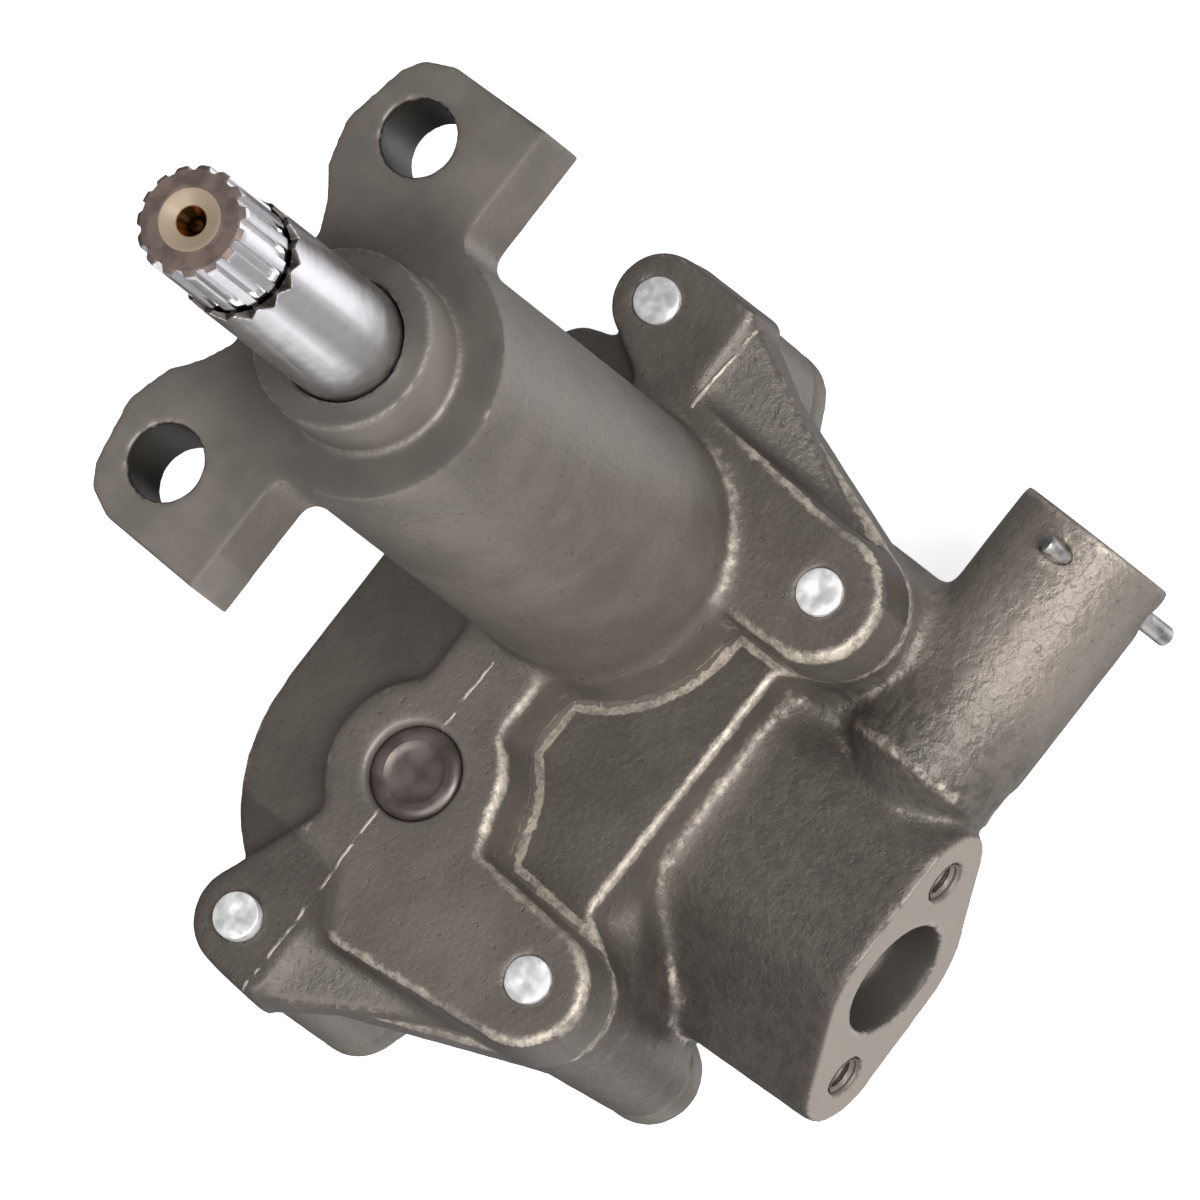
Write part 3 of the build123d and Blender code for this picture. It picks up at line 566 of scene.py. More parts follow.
def bolt_places():
    """Centres of the four cover bolts, from the loose parts of their node."""
    coords = get_coords(frame["nodes"]["cover_bolts"].data)
    top = coords[coords[:, 2] > coords[:, 2].max() - 0.05 * MM]
    centres = []
    while len(top):
        group = np.hypot(*(top[:, :2] - top[0, :2]).T) < 12 * MM
        centres.append((top[group][:, :2].max(0) + top[group][:, :2].min(0)) / 2)
        top = top[~group]
    return centres


bolt_centres = bolt_places()


def near_bolts(coords, radius):
    """True within a radius of a cover bolt's axis."""
    return np.any([near_line(coords, x, y, radius) for x, y in bolt_centres], axis=0)


def in_ear_holes(coords, slack):
    """True inside the two mounting ears' holes."""
    holes = np.any([near_line(coords, x, ear_y, ear_hole + slack) for x in ear_places], axis=0)
    return holes & (coords[:, 2] > below_ears)


def in_housing_cut(coords, slack):
    """Where the upper housing is machined: flange top and pilot, ear holes, bores and joint."""
    cut = (coords[:, 2] > -slack) | (coords[:, 2] < joint_level + slack)
    cut |= in_ear_holes(coords, slack) | near_bolts(coords, bolt_radius + slack)
    cut |= near_line(coords, 0, 0, bushing_bore + slack)
    return cut | near_line(coords, idler_x, 0, idler_bore + slack)


def in_body_cut(coords, slack):
    """Where the pump body is machined: its joints, gear pocket, ports and the relief valve's bore."""
    inlet_back, outlet_front, valve_start = 30 * MM, -20 * MM, 4 * MM
    x, y, z = coords.T
    cut = (z > joint_level - slack) | (z < cover_level + slack)
    for gear_x in (0, idler_x):
        cut |= (z < above_pocket) & near_line(coords, gear_x, 0, pocket_radius + slack)
    cut |= near_line(coords, inlet_centre[0], inlet_centre[1], inlet_bore + slack) & (y < inlet_back)
    cut |= (y < outlet_centre[1] + slack) | (x > valve_end - slack)
    off_outlet = np.hypot(x - outlet_centre[0], z - outlet_centre[2])
    cut |= (off_outlet < outlet_bore + slack) & (y < outlet_front)
    plug_low, plug_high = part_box("relief_plug")
    valve_y, valve_z = (plug_low.y + plug_high.y) / 2, (plug_low.z + plug_high.z) / 2
    cut |= (np.hypot(y - valve_y, z - valve_z) < valve_bore + slack) & (x > valve_start)
    return cut | near_bolts(coords, bolt_hole + slack)


def in_cover_cut(coords, slack):
    """Where the bottom cover is machined: its joint, inlet face and holes."""
    cut = (coords[:, 2] > cover_level - slack) | (coords[:, 2] < inlet_centre[2] + slack)
    cut |= near_line(coords, inlet_centre[0], inlet_centre[1], inlet_bore + slack)
    return cut | near_bolts(coords, bolt_seat + slack)


def feature_points(mesh, step):
    """Points along a mesh's sharp edges, no further apart than step, as a mesh of loose vertices."""
    least_angle = 0.6
    work = bmesh.new()
    work.from_mesh(mesh)
    sharp = [edge for edge in work.edges
             if len(edge.link_faces) == 2 and edge.calc_face_angle(0) > least_angle]
    ends = np.array([[edge.verts[0].co[:], edge.verts[1].co[:]] for edge in sharp])
    work.free()
    lengths = np.linalg.norm(ends[:, 1] - ends[:, 0], axis=1)
    counts = np.ceil(lengths / step).astype(int) + 1
    owner = np.repeat(np.arange(len(ends)), counts)
    start = np.repeat(np.cumsum(counts) - counts, counts)
    share = (np.arange(counts.sum()) - start) / (counts[owner] - 1).clip(1)
    points = ends[owner, 0] + (ends[owner, 1] - ends[owner, 0]) * share[:, None]
    cloud = bpy.data.meshes.new("feature_points")
    cloud.from_pydata(points.tolist(), [], [])
    return cloud


def merged_solid(node, fillers):
    """A copy of a node's solid with its corners merged. The fillers are balls of iron, as x, y, z and
    radius in mm, that close a slit between two thick parts."""
    mesh = frame["nodes"][node].data.copy()
    work = bmesh.new()
    work.from_mesh(mesh)
    bmesh.ops.remove_doubles(work, verts=work.verts, dist=merge_distance)
    for *place, radius in fillers:
        middle = Matrix.Translation(Vector(place) * MM)
        bmesh.ops.create_icosphere(work, subdivisions=4, radius=radius * MM, matrix=middle)
    work.to_mesh(mesh)
    work.free()
    return mesh


def remeshed(name, solid, voxel):
    """An object with an even skin over a solid, its vertices a voxel apart."""
    blank = linked_object(name, solid.copy())
    remesh = blank.modifiers.new("Remesh", "REMESH")
    remesh.mode = "VOXEL"
    remesh.voxel_size = voxel
    skin = linked_object(name + "_skin", baked(blank))
    drop(blank)
    return skin


def wrapped(skin, target, method):
    """Coordinates of the skin's vertices, each moved to its nearest place on the target."""
    wrap = skin.modifiers.new("Wrap", "SHRINKWRAP")
    wrap.target = target
    wrap.wrap_method = method
    result = baked(skin)
    coords = get_coords(result)
    skin.modifiers.clear()
    bpy.data.meshes.remove(result)
    return coords


def housing_distance(skin, surface):
    """Distance of the body's surface from the upper housing's solid, which stands on it."""
    set_coords(skin.data, surface)
    housing = linked_object("housing_solid", frame["nodes"]["upper_housing"].data.copy())
    distance = np.linalg.norm(wrapped(skin, housing, "NEAREST_SURFACEPOINT") - surface, axis=1)
    drop(housing)
    return distance


def melted(mesh, coords, cast):
    """The body's surface with two corners melted together, where the outlet block and the valve's neck
    run into the case."""
    melt = np.zeros(len(coords))
    for middle, full in melted_corners:
        distance = np.linalg.norm(coords - np.array(middle) * MM, axis=1)
        melt = np.maximum(melt, 1 - smooth_step(distance, full * MM, melt_reach))
    return relax(mesh, coords, melt * cast, 70)


def wear_and_highlight_share(coords, webs):
    """How much of the bright wear and painted highlight a place gets: most on the base and the body, and little on
    the flange, by the bolts, on the cover, at the back, on the webs and beside the outlet's face."""
    flange, bolt, cover, web, less_behind = 0.2, 0.15, 0.25, 0.45, 0.45
    _, y, z = coords.T
    rubbed = smooth_step(-z, 15 * MM, 25 * MM) * (1 - flange) + flange
    rubbed = np.where(near_bolts(coords, 6.4 * MM), bolt, rubbed)
    rubbed *= cover + (1 - cover) * smooth_step(z, cover_level + 3 * MM, cover_level + 6 * MM)
    rubbed *= smooth_step(y, outlet_centre[1] + 1.5 * MM, outlet_centre[1] + 4 * MM)
    rubbed *= 1 - less_behind * smooth_step(y, -10 * MM, 2 * MM)
    return np.where(webs, rubbed * web, rubbed)


def body_shade(coords, open_top):
    """Pale, coarse and tone of the pump body: pale on the outlet's face; dark on the outlet block and on the
    relief valve, with painted light on the valve's upper side towards the plug end; coarse on both; and painted
    shade on the body's open top beside the upper housing."""
    x, y, z = coords.T
    pale = (y < outlet_centre[1] + 0.2 * MM).astype(float)
    forward = 1 - smooth_step(y, -42 * MM, -36 * MM)
    coarse = base_coarse + (0.3 + 0.55 * smooth_step(x, -3 * MM, 4 * MM)) * forward
    # valve: painted light on the relief valve's upper side, stronger towards the plug end
    valve = smooth_step(x, 2 * MM, 26 * MM) * smooth_step(z, -149 * MM, -137 * MM)
    # open_top: painted shade on the body's top beside the upper housing
    return pale, coarse, forward * (1.1 * valve - 0.65) - 0.3 * open_top


def housing_shade(coords, normals, webs):
    """Pale, coarse and tone of the upper housing: painted shade in the ear holes and on the webs, dark round the
    pilot on the flange's top, and lighter towards the base and on its idler side."""
    x, y, z = coords.T
    # pale of -1: painted shade in the ear holes
    pale = np.where(in_ear_holes(coords, 0.1 * MM), -1.0, 0.0)
    tone = 0.12 * smooth_step(z, -112 * MM, -104 * MM)
    tone += 0.15 * (np.abs(z - plateau_level) < 1 * MM) * (x < -22 * MM)
    flat_top = (z > -0.3 * MM) & (normals[:, 2] > 0.7)
    round_pilot = 1 - smooth_step(np.hypot(x, y), 20 * MM, 37 * MM)
    # webs: painted shade on the low webs beside the pads
    return pale, np.full(len(x), base_coarse), tone - 0.4 * webs - 0.62 * flat_top * round_pilot


def thinned(skin, hidden, triangle_limit):
    """The finished mesh of a skin. Where it has too many triangles, they go from hidden faces."""
    seen_share, group_factor = 0.02, 10.0
    group = skin.vertex_groups.new(name="thin")
    for vertices, share in ((hidden, 1.0), (~hidden, seen_share)):
        group.add(np.flatnonzero(vertices).tolist(), share, "REPLACE")
    thin = skin.modifiers.new("Thin", "DECIMATE")
    thin.vertex_group = "thin"
    thin.vertex_group_factor = group_factor
    thin.ratio = min(1.0, triangle_limit / (len(skin.data.polygons) * 2))
    finished = baked(skin)
    finished.shade_smooth()
    finished.set_sharp_from_angle(angle=cast_crease)
    return finished


def cast_skin(node, voxel, cut_zone, settings, fillers=()):
    """A casting's skin. The node's solid is remeshed evenly and drawn back to the solid's surface, and
    Laplacian smoothing breaks every edge by a hair. Away from the machined zone it also fills the inner
    corners and rounds the edges, and the surface moves along its normal by g * (n3 + n1 / 2), where n3
    and n1 are lattice noise of a 3.1 mm and a 1.3 mm cell and g is the grain height."""
    name = node + "_cast"
    edge_slack, face_slack = 0.12 * MM, 0.35 * MM       # how far machining reaches past its own faces
    burr_rounds, mask_rounds, bend_gain, web_reach = 3, 3, 11, 43 * MM
    solid = linked_object(node + "_solid", merged_solid(node, fillers))
    cloud = linked_object(node + "_edges", feature_points(solid.data, voxel * 0.3))
    skin = remeshed(name, solid.data, voxel)
    mesh = skin.data
    surface = wrapped(skin, solid, "NEAREST_SURFACEPOINT")
    off_edge = np.linalg.norm(wrapped(skin, cloud, "NEAREST_VERTEX") - surface, axis=1)
    uncut = 1 - cut_zone(surface, edge_slack)
    beside, open_top = np.ones(len(surface)), np.zeros(len(surface), bool)
    if node == "pump_body":
        beside = housing_distance(skin, surface)
        open_top = (surface[:, 2] > joint_level - 0.3 * MM) & (beside > 0.25 * MM)
        uncut = np.where(open_top, 1.0, uncut)
    burr = 1 - smooth_step(off_edge, voxel * 0.8, voxel * 1.8)
    coords = relax(mesh, surface, 0.9 * burr, burr_rounds)
    if node == "pump_body":
        coords = melted(mesh, coords, uncut)
    crisp_flange = smooth_step(surface[:, 2], below_flange, in_flange) * 0.75
    coords = relax(mesh, coords, uncut * (1 - crisp_flange), settings.rounding, settings.fillet_rounds)
    set_coords(mesh, coords)

    normals = get_normals(mesh)
    cast = np.where(open_top, 1.0, 1 - cut_zone(coords, face_slack))
    grain = lattice_noise(coords, 3.1 * MM, 5) + 0.5 * lattice_noise(coords, 1.3 * MM, 9)
    set_coords(mesh, coords + normals * (grain * cast * settings.grain_height)[:, None])
    edges, counts = mesh_edges(mesh)
    bend = ((coords - neighbour_mean(coords, edges, counts)) * normals).sum(1) / voxel
    soft = np.stack([bend, cast], axis=1)
    for _ in range(mask_rounds):
        soft = 0.6 * soft + 0.4 * neighbour_mean(soft, edges, counts)
    bend, cast = soft.T

    webs = (coords[:, 2] < plateau_level - 0.8 * MM) & (np.abs(coords[:, 0] - idler_x / 2) > web_reach)
    webs &= node == "upper_housing"
    # bright: share of wear and painted highlight
    bright = cast * wear_and_highlight_share(coords, webs)
    # painted highlight and wear in the fillet where the upper housing stands on the body's open top
    foot_wear_and_highlight = (1 - smooth_step(beside, 1.2 * MM, 2.3 * MM)) * open_top
    pale, coarse, tone = np.zeros(len(coords)), np.full(len(coords), base_coarse), np.zeros(len(coords))
    if node == "pump_body":
        pale, coarse, tone = body_shade(coords, open_top)
    if node == "upper_housing":
        pale, coarse, tone = housing_shade(coords, normals, webs)
    # edge and hollow carry wear and painted highlight; pale and tone carry painted light and painted shade with
    # the iron's own tone
    masks = {"edge": np.clip(bend * bend_gain, 0, 1) * bright, "cast": cast, "pale": pale,
             "hollow": np.maximum(np.clip(-bend * bend_gain, 0, 1), foot_wear_and_highlight) * bright, "coarse": coarse,
             "tone": tone}
    for mask, values in masks.items():
        store_mask(mesh, mask, values)
    hidden = (cast < 0.1) & (coords[:, 2] < below_flange) & (coords[:, 1] > front_y)
    finished = thinned(skin, hidden, settings.triangle_limit)
    drop(skin, solid, cloud)
    finished.name = name
    piece = new_object(name, finished, "housing", "Cast Iron")
    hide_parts(node)
    return piece


# ---- turned and wound pieces ---------------------------------------------------------------------


def drive_shaft(settings):
    """Splined drive shaft, turned about Z: radius r(a, z) = R(z), less the grooves of the spline and
    the pointed notches below it. s = R * (angle from the nearest groove's middle) is the way along the
    circle; a groove's wall rises with smooth_step(|s|)."""
    teeth, first = 15, math.radians(-81.8)
    notch_width, notch_depth = 1.6 * MM, 1.4 * MM
    low, high = shaft_low.z, shaft_high.z
    plain_end, neck_start = notch_level - 1 * MM, neck_level - 0.05 * MM
    stretches = [
        profile([(0, low), (9.0 * MM, low), (shaft_radius, low + 1 * MM), (shaft_radius, plain_end)], 8 * MM),
        profile([(shaft_radius, plain_end), (shaft_radius, neck_start)], 0.22 * MM),
        profile([(shaft_radius, neck_start), (neck_mouth, neck_level), (groove_floor, neck_level),
                 (groove_floor, spline_level), (9.05 * MM, spline_level + 0.3 * MM),
                 (spline_radius, spline_level + 0.8 * MM), (spline_radius, high - 1.5 * MM),
                 (9.0 * MM, high - 0.9 * MM), (8.25 * MM, high), (end_face, high),
                 (centre_bevel, high - 0.9 * MM), (centre_hole, high - 3.3 * MM),
                 (centre_hole, high - 5.9 * MM), (0, high - 6 * MM)], 0.7 * MM)]
    radius, height = (np.concatenate([stretches[0][row]] + [part[row][1:] for part in stretches[1:]])
                      for row in (0, 1))

    def grooved(angle, level, plain):
        pitch = 2 * math.pi / teeth
        offset = np.abs((angle - first + pitch / 2) % pitch - pitch / 2)
        along = offset * spline_radius
        floor = groove_floor + 1.2 * MM * smooth_step(along, 0.65 * MM, 1.15 * MM)
        in_spline = (level > spline_level + 0.2 * MM) & (plain > 5.2 * MM)
        plain = np.where(in_spline, np.minimum(plain, floor), plain)
        half_width = notch_width * (level - notch_level) / (neck_level - notch_level)
        depth = notch_depth * smooth_step(half_width - along, -0.15 * MM, 0.45 * MM)
        in_notch = (level > notch_level) & (level < neck_level + 0.01 * MM) & (plain > 9.5 * MM)
        return np.where(in_notch, plain - depth, plain)

    surface = lathe(radius, height, settings.shaft_columns, (0, 0, 0), (0, 0, 1), grooved)
    piece = joined_object("drive_shaft_ground", [grid_mesh("shaft", surface)], "drive",
                          "Ground Shaft Steel")
    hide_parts("drive_shaft")
    return piece


def idler_shaft():
    """Idler shaft, turned about Z, with a broad bevel and a shallow dish in the end that shows."""
    low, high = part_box("idler_shaft")
    side, top = 7.98 * MM, high.z
    corners = [(0, low.z), (7.2 * MM, low.z), (side, low.z + 0.8 * MM), (side, top - 1.5 * MM),
               (7.6 * MM, top - 0.7 * MM), (6.4 * MM, top), (5.3 * MM, top), (4.6 * MM, top - 0.55 * MM),
               (3.0 * MM, top - 0.85 * MM), (0, top - 0.9 * MM)]
    radius, height = profile(corners, step=1.0 * MM)
    mesh = grid_mesh("idler", lathe(radius, height, columns=96, origin=(idler_x, 0, 0), axis=(0, 0, 1)))
    piece = joined_object("idler_shaft_turned", [mesh], "housing", "Dark Steel")
    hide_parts("idler_shaft")
    return piece


def cover_bolts():
    """Four plated bolts, turned about Z: a low round head, a shank, and a domed end with a shallow
    hollow. In the head is a hexagonal socket, whose radius is w / cos(angle from the flat's middle)."""
    low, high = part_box("cover_bolts")
    half_socket, shank = 2.5 * MM, 3.98 * MM
    dent_depth, dent_cell, first_seed = 0.24, 2.1 * MM, 20      # depth in mm
    socket_floor = low.z + 2.6 * MM
    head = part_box("bolt_washers")[0].z
    end = high.z + 0.9 * MM

    def hexagon(angle, level, plain):
        turn = (angle + math.pi / 6) % (math.pi / 3) - math.pi / 6
        wall = (level < socket_floor + 0.01 * MM) & (plain > 1.5 * MM) & (plain < 3 * MM)
        return np.where(wall, half_socket / np.cos(turn), plain)

    corners = [(0, socket_floor), (half_socket, socket_floor), (half_socket, low.z),
               (head_radius - 0.6 * MM, low.z), (head_radius - 0.15 * MM, low.z + 0.2 * MM),
               (head_radius, low.z + 0.7 * MM), (head_radius, head - 0.1 * MM),
               (head_radius - 0.1 * MM, head), (shank, head), (shank, end - 0.5 * MM),
               (3.88 * MM, end - 0.2 * MM), (3.55 * MM, end - 0.03 * MM), (2.4 * MM, end),
               (1.4 * MM, end - 0.05 * MM), (0.8 * MM, end - 0.2 * MM), (0, end - 0.24 * MM)]
    radius, height = profile(corners, step=1.2 * MM)
    bolts = []
    for number, (x, y) in enumerate(bolt_centres):
        surface = lathe(radius, height, columns=72, origin=(0, 0, 0), axis=(0, 0, 1), modulate=hexagon)
        near_end = smooth_step(surface[..., 2], end - 0.9 * MM, end - 0.1 * MM)
        dents = lattice_noise(surface.reshape(-1, 3), dent_cell, number + first_seed)
        surface[..., 2] += dents.reshape(near_end.shape) * near_end * dent_depth * MM
        bolts.append(grid_mesh("bolt", surface + np.array([x, y, 0])))
    piece = joined_object("cover_bolts_plated", bolts, "housing", "Zinc Plate")
    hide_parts("cover_bolts")
    return piece


def bolt_washers():
    """Four washers: a rounded oblong section, (|u|/a)^6 + (|v|/b)^6 = 1, turned about each bolt."""
    low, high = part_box("bolt_washers")
    section_points, columns = 40, 64
    turn = np.linspace(0, 2 * math.pi, section_points, endpoint=False)
    across, up = (np.sign(wave) * np.abs(wave) ** (1 / 3) * size / 2 for wave, size in (
        (np.cos(turn), head_radius - washer_inner), (np.sin(turn), high.z - low.z)))
    radius, height = (washer_inner + head_radius) / 2 + across, (high.z + low.z) / 2 + up
    rings = [ring_mesh("washer", lathe(radius, height, columns, (x, y, 0), (0, 0, 1)))
             for x, y in bolt_centres]
    piece = joined_object("bolt_washers_plated", rings, "housing", "Zinc Plate")
    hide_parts("bolt_washers")
    return piece


def lock_pin():
    """Roll pin of the relief valve, turned about its own slanted axis, with rounded ends."""
    low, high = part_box("relief_lock_pin")
    slope = math.radians(60)
    axis = np.array([0, -math.cos(slope), -math.sin(slope)])
    radius = (high.x - low.x) / 2
    middle = (np.array(low) + np.array(high)) / 2
    half = ((high.z - low.z) - 2 * radius * math.cos(slope)) / 2 / math.sin(slope)
    tip = [(radius, half - 0.5 * MM), (radius * 0.9, half - 0.15 * MM), (radius * 0.6, half), (0, half)]
    corners = [(across, -along) for across, along in reversed(tip)] + tip
    rows, height = profile(corners, step=1.0 * MM)
    mesh = grid_mesh("pin", lathe(rows, height, columns=48, origin=middle, axis=axis))
    piece = joined_object("lock_pin_plated", [mesh], "housing", "Pin Steel")
    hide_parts("relief_lock_pin")
    return piece


def relief_spring():
    """Relief spring: a wire swept along p(t) = (x(t), R cos 2 pi t, R sin 2 pi t). x rises by the wire's thickness
    a turn over the first and last turn, which close the ends, and evenly between them."""
    low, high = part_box("relief_spring")
    wire, turns, steps, sides = 0.78 * MM, 8, 96, 16
    coil = (high.z - low.z) / 2 - wire - 0.02 * MM
    middle = (np.array(low) + np.array(high)) / 2
    turn = np.linspace(0, turns, turns * steps + 1)
    length = high.x - low.x - 2 * wire
    closed = 2.04 * wire
    rise = np.interp(turn, [0, 1, turns - 1, turns], [0, closed, length - closed, length])
    phase = 2 * math.pi * turn
    outward = np.stack([phase * 0, np.cos(phase), np.sin(phase)], axis=1)
    spine = np.array([low.x + wire, middle[1], middle[2]]) + outward * coil
    spine[:, 0] += rise
    tangent = np.gradient(spine, axis=0)
    tangent /= np.linalg.norm(tangent, axis=1)[:, None]
    side = np.cross(tangent, outward)
    around = np.linspace(0, 2 * math.pi, sides, endpoint=False)[None, :, None]
    section = np.cos(around) * outward[:, None] + np.sin(around) * side[:, None]
    caps = [np.repeat(spine[end][None, None], sides, axis=1) for end in (0, -1)]
    mesh = grid_mesh("spring", np.concatenate([caps[0], spine[:, None] + section * wire, caps[1]]))
    piece = joined_object("relief_spring_wire", [mesh], "housing", "Ground Gear Steel")
    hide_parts("relief_spring")
    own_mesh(piece)
    return piece


def thread_sleeve(name, mount, tilt, axis):
    """Screw thread cut in a port's two tapped holes, which lie on a line turned by tilt in its face. It
    is a closed sleeve whose inner wall is r(a, h) = r0 - t * ridge,
    ridge = 1 - |2 * frac(h / pitch - a / 2 pi) - 1|, and whose outer wall lies in the hole's own wall."""
    pitch, thread_height, depth, columns = 1.25 * MM, 0.55 * MM, 9.0 * MM, 48
    inner = np.linspace(0.1 * MM, depth, int(depth / pitch * 10))
    angle = np.linspace(0, 2 * math.pi, columns, endpoint=False)[None, :]
    level = np.concatenate([inner, inner[::-1]])[:, None] * np.ones((1, columns))
    ridge = 1 - np.abs(2 * ((level / pitch - angle / (2 * math.pi)) % 1) - 1)
    fade = smooth_step(level, 0.0, 1.2 * MM)
    is_inner = np.arange(len(level))[:, None] < len(inner)
    radius = np.where(is_inner, tapped_radius - 0.02 * MM - thread_height * ridge * fade,
                      tapped_radius + 0.06 * MM)
    dims = mounts[mount]["dims"]
    half = dims.get("pcd_mm", dims.get("spacing_x_mm")) * MM / 2
    side = np.array([1.0, 0, 0]) * math.cos(tilt) + np.array([0, 0, 1.0]) * math.sin(tilt)
    sleeves = []
    for way in (half, -half):
        centre = np.array(mounts[mount]["pos_m"]) + side * way
        unit_tube = lathe(np.ones(len(level)), -level[:, 0], columns, centre, axis)
        spine = centre - np.array(axis) * level[..., None]
        sleeves.append(ring_mesh("sleeve", spine + (unit_tube - spine) * radius[..., None]))
    return joined_object(name, sleeves, "housing", "Cast Iron")


# ---- stage ---------------------------------------------------------------------------------------


def area_light(name, place, size, power):
    """A square soft box aimed at the middle of the pump."""
    middle = (-0.02, -0.01, -0.10)
    data = bpy.data.lights.new(name, "AREA")
    data.shape = "RECTANGLE"
    data.size = data.size_y = size
    data.energy = power
    lamp = linked_object(name, data)
    lamp.location = place
    lamp.rotation_euler = (Vector(middle) - Vector(place)).to_track_quat("-Z", "Y").to_euler()


def soft_box(tree, bearing, middle, half_width, strength):
    """Brightness of a soft box that stands at a bearing, in degrees."""
    off = tree.math("ABSOLUTE", tree.math("SUBTRACT", bearing, middle))
    return tree.ramp(off, half_width * 0.2, half_width, strength, 0.0)


def make_world():
    """White for the camera. Light and reflections come from a grey sky, darkest overhead, and from two
    soft boxes below the horizon, to the left and right of the front; the bearing is 0 towards -Y."""
    world = bpy.data.worlds.new("Studio")
    world.use_nodes = True
    tree = Tree(world.node_tree)
    way = tree.node("SeparateXYZ", {0: tree.node("TexCoord").outputs["Generated"]})
    across, along, up = way.outputs
    turn = tree.math("ARCTAN2", across, tree.product(along, -1.0))
    bearing = tree.product(turn, 180 / math.pi)
    low = tree.ramp(bearing, -150.0, -60.0, 0.16, 0.60)
    low = tree.math("SUBTRACT", low, tree.ramp(bearing, 80.0, 175.0, 0.0, 0.30))
    low = tree.math("ADD", low, soft_box(tree, bearing, middle=-50.0, half_width=38.0, strength=1.0))
    low = tree.math("ADD", low, soft_box(tree, bearing, middle=58.0, half_width=42.0, strength=1.2))
    front = tree.ramp(along, -0.9, 0.5, 0.50, 0.0)
    high = tree.math("ADD", tree.ramp(up, 0.0, 1.0, 0.34, 0.24), front)
    level = tree.node("Mix", {0: tree.ramp(up, -0.35, 0.0), 2: low, 3: high}).outputs[0]
    lit = tree.node("Background", {"Color": srgb(252, 252, 255), "Strength": level})
    seen = tree.node("Background", {"Color": (1, 1, 1, 1), "Strength": 1.0})
    camera_ray = tree.node("LightPath").outputs["Is Camera Ray"]
    blend = tree.node("MixShader", {0: camera_ray, 1: lit.outputs[0], 2: seen.outputs[0]})
    output = tree.tree.nodes.new("ShaderNodeOutputWorld")
    tree.put(output.inputs["Surface"], blend.outputs[0])
    bpy.context.scene.world = world


def make_floor():
    """Plain pale floor under the pump. Polished metal sees through it to the soft boxes, and so does a
    view from below."""
    reach, lift = 6.0, 0.62
    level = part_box("cover_bolts")[0].z - 8.2 * MM
    corners = [(x * reach, y * reach, level) for x, y in ((-1, -1), (1, -1), (1, 1), (-1, 1))]
    mesh = bpy.data.meshes.new("floor")
    mesh.from_pydata(corners, [], [(0, 1, 2, 3)])
    floor = linked_object("floor", mesh)
    material = bpy.data.materials.new("Floor")
    material.use_nodes = True
    tree = Tree(material.node_tree)
    pale = tree.node("BsdfDiffuse", {"Color": (0.95, 0.95, 0.95, 1)})
    clear = tree.node("BsdfTransparent")
    path = tree.node("LightPath")
    glow = tree.node("Emission", {"Strength": tree.product(path.outputs["Is Camera Ray"], lift)})
    seen = tree.node("AddShader", {0: pale.outputs[0], 1: glow.outputs[0]})
    below = tree.node("NewGeometry").outputs["Backfacing"]
    through = tree.math("MAXIMUM", path.outputs["Is Glossy Ray"], below)
    blend = tree.node("MixShader", {0: through, 1: seen.outputs[0], 2: clear.outputs[0]})
    tree.node("OutputMaterial", {"Surface": blend.outputs[0]})
    mesh.materials.append(material)


def make_camera(settings):
    """Long lens from above the outlet side, rolled so that the shaft points to the upper left."""
    tilt = math.radians(24)
    rightward, downward = 0.614, 0.789
    back = Vector((0, -math.sin(tilt), math.cos(tilt)))
    across = Vector((0, math.cos(tilt), math.sin(tilt)))
    right = (Vector((1, 0, 0)) * rightward - across * downward).normalized()
    up = back.cross(right)
    data = bpy.data.cameras.new("Camera")
    data.lens = settings.lens
    data.sensor_width = 36
    distance = settings.view_width * data.lens / data.sensor_width
    data.clip_start, data.clip_end = 0.1, 40
    camera = linked_object("Camera", data)
    turned = Matrix((right, up, back)).transposed().to_4x4()
    target = Vector(settings.camera_target)
    camera.matrix_world = Matrix.Translation(target + back * distance) @ turned
    bpy.context.scene.camera = camera


# ---- add-on --------------------------------------------------------------------------------------


def length_setting(name, description, default, least, most):
    """A length that the user can change."""
    return FloatProperty(name=name, description=description, default=default, min=least, max=most,
                         unit="LENGTH")


def count_setting(name, description, default, least, most):
    """A whole number that the user can change."""
    return IntProperty(name=name, description=description, default=default, min=least, max=most)


def colour_setting(name, description, *display):
    """A colour that the user can change, from its 8-bit display values."""
    return FloatVectorProperty(name=name, description=description, default=srgb(*display), size=4,
                               subtype="COLOR", min=0.0, max=1.0)


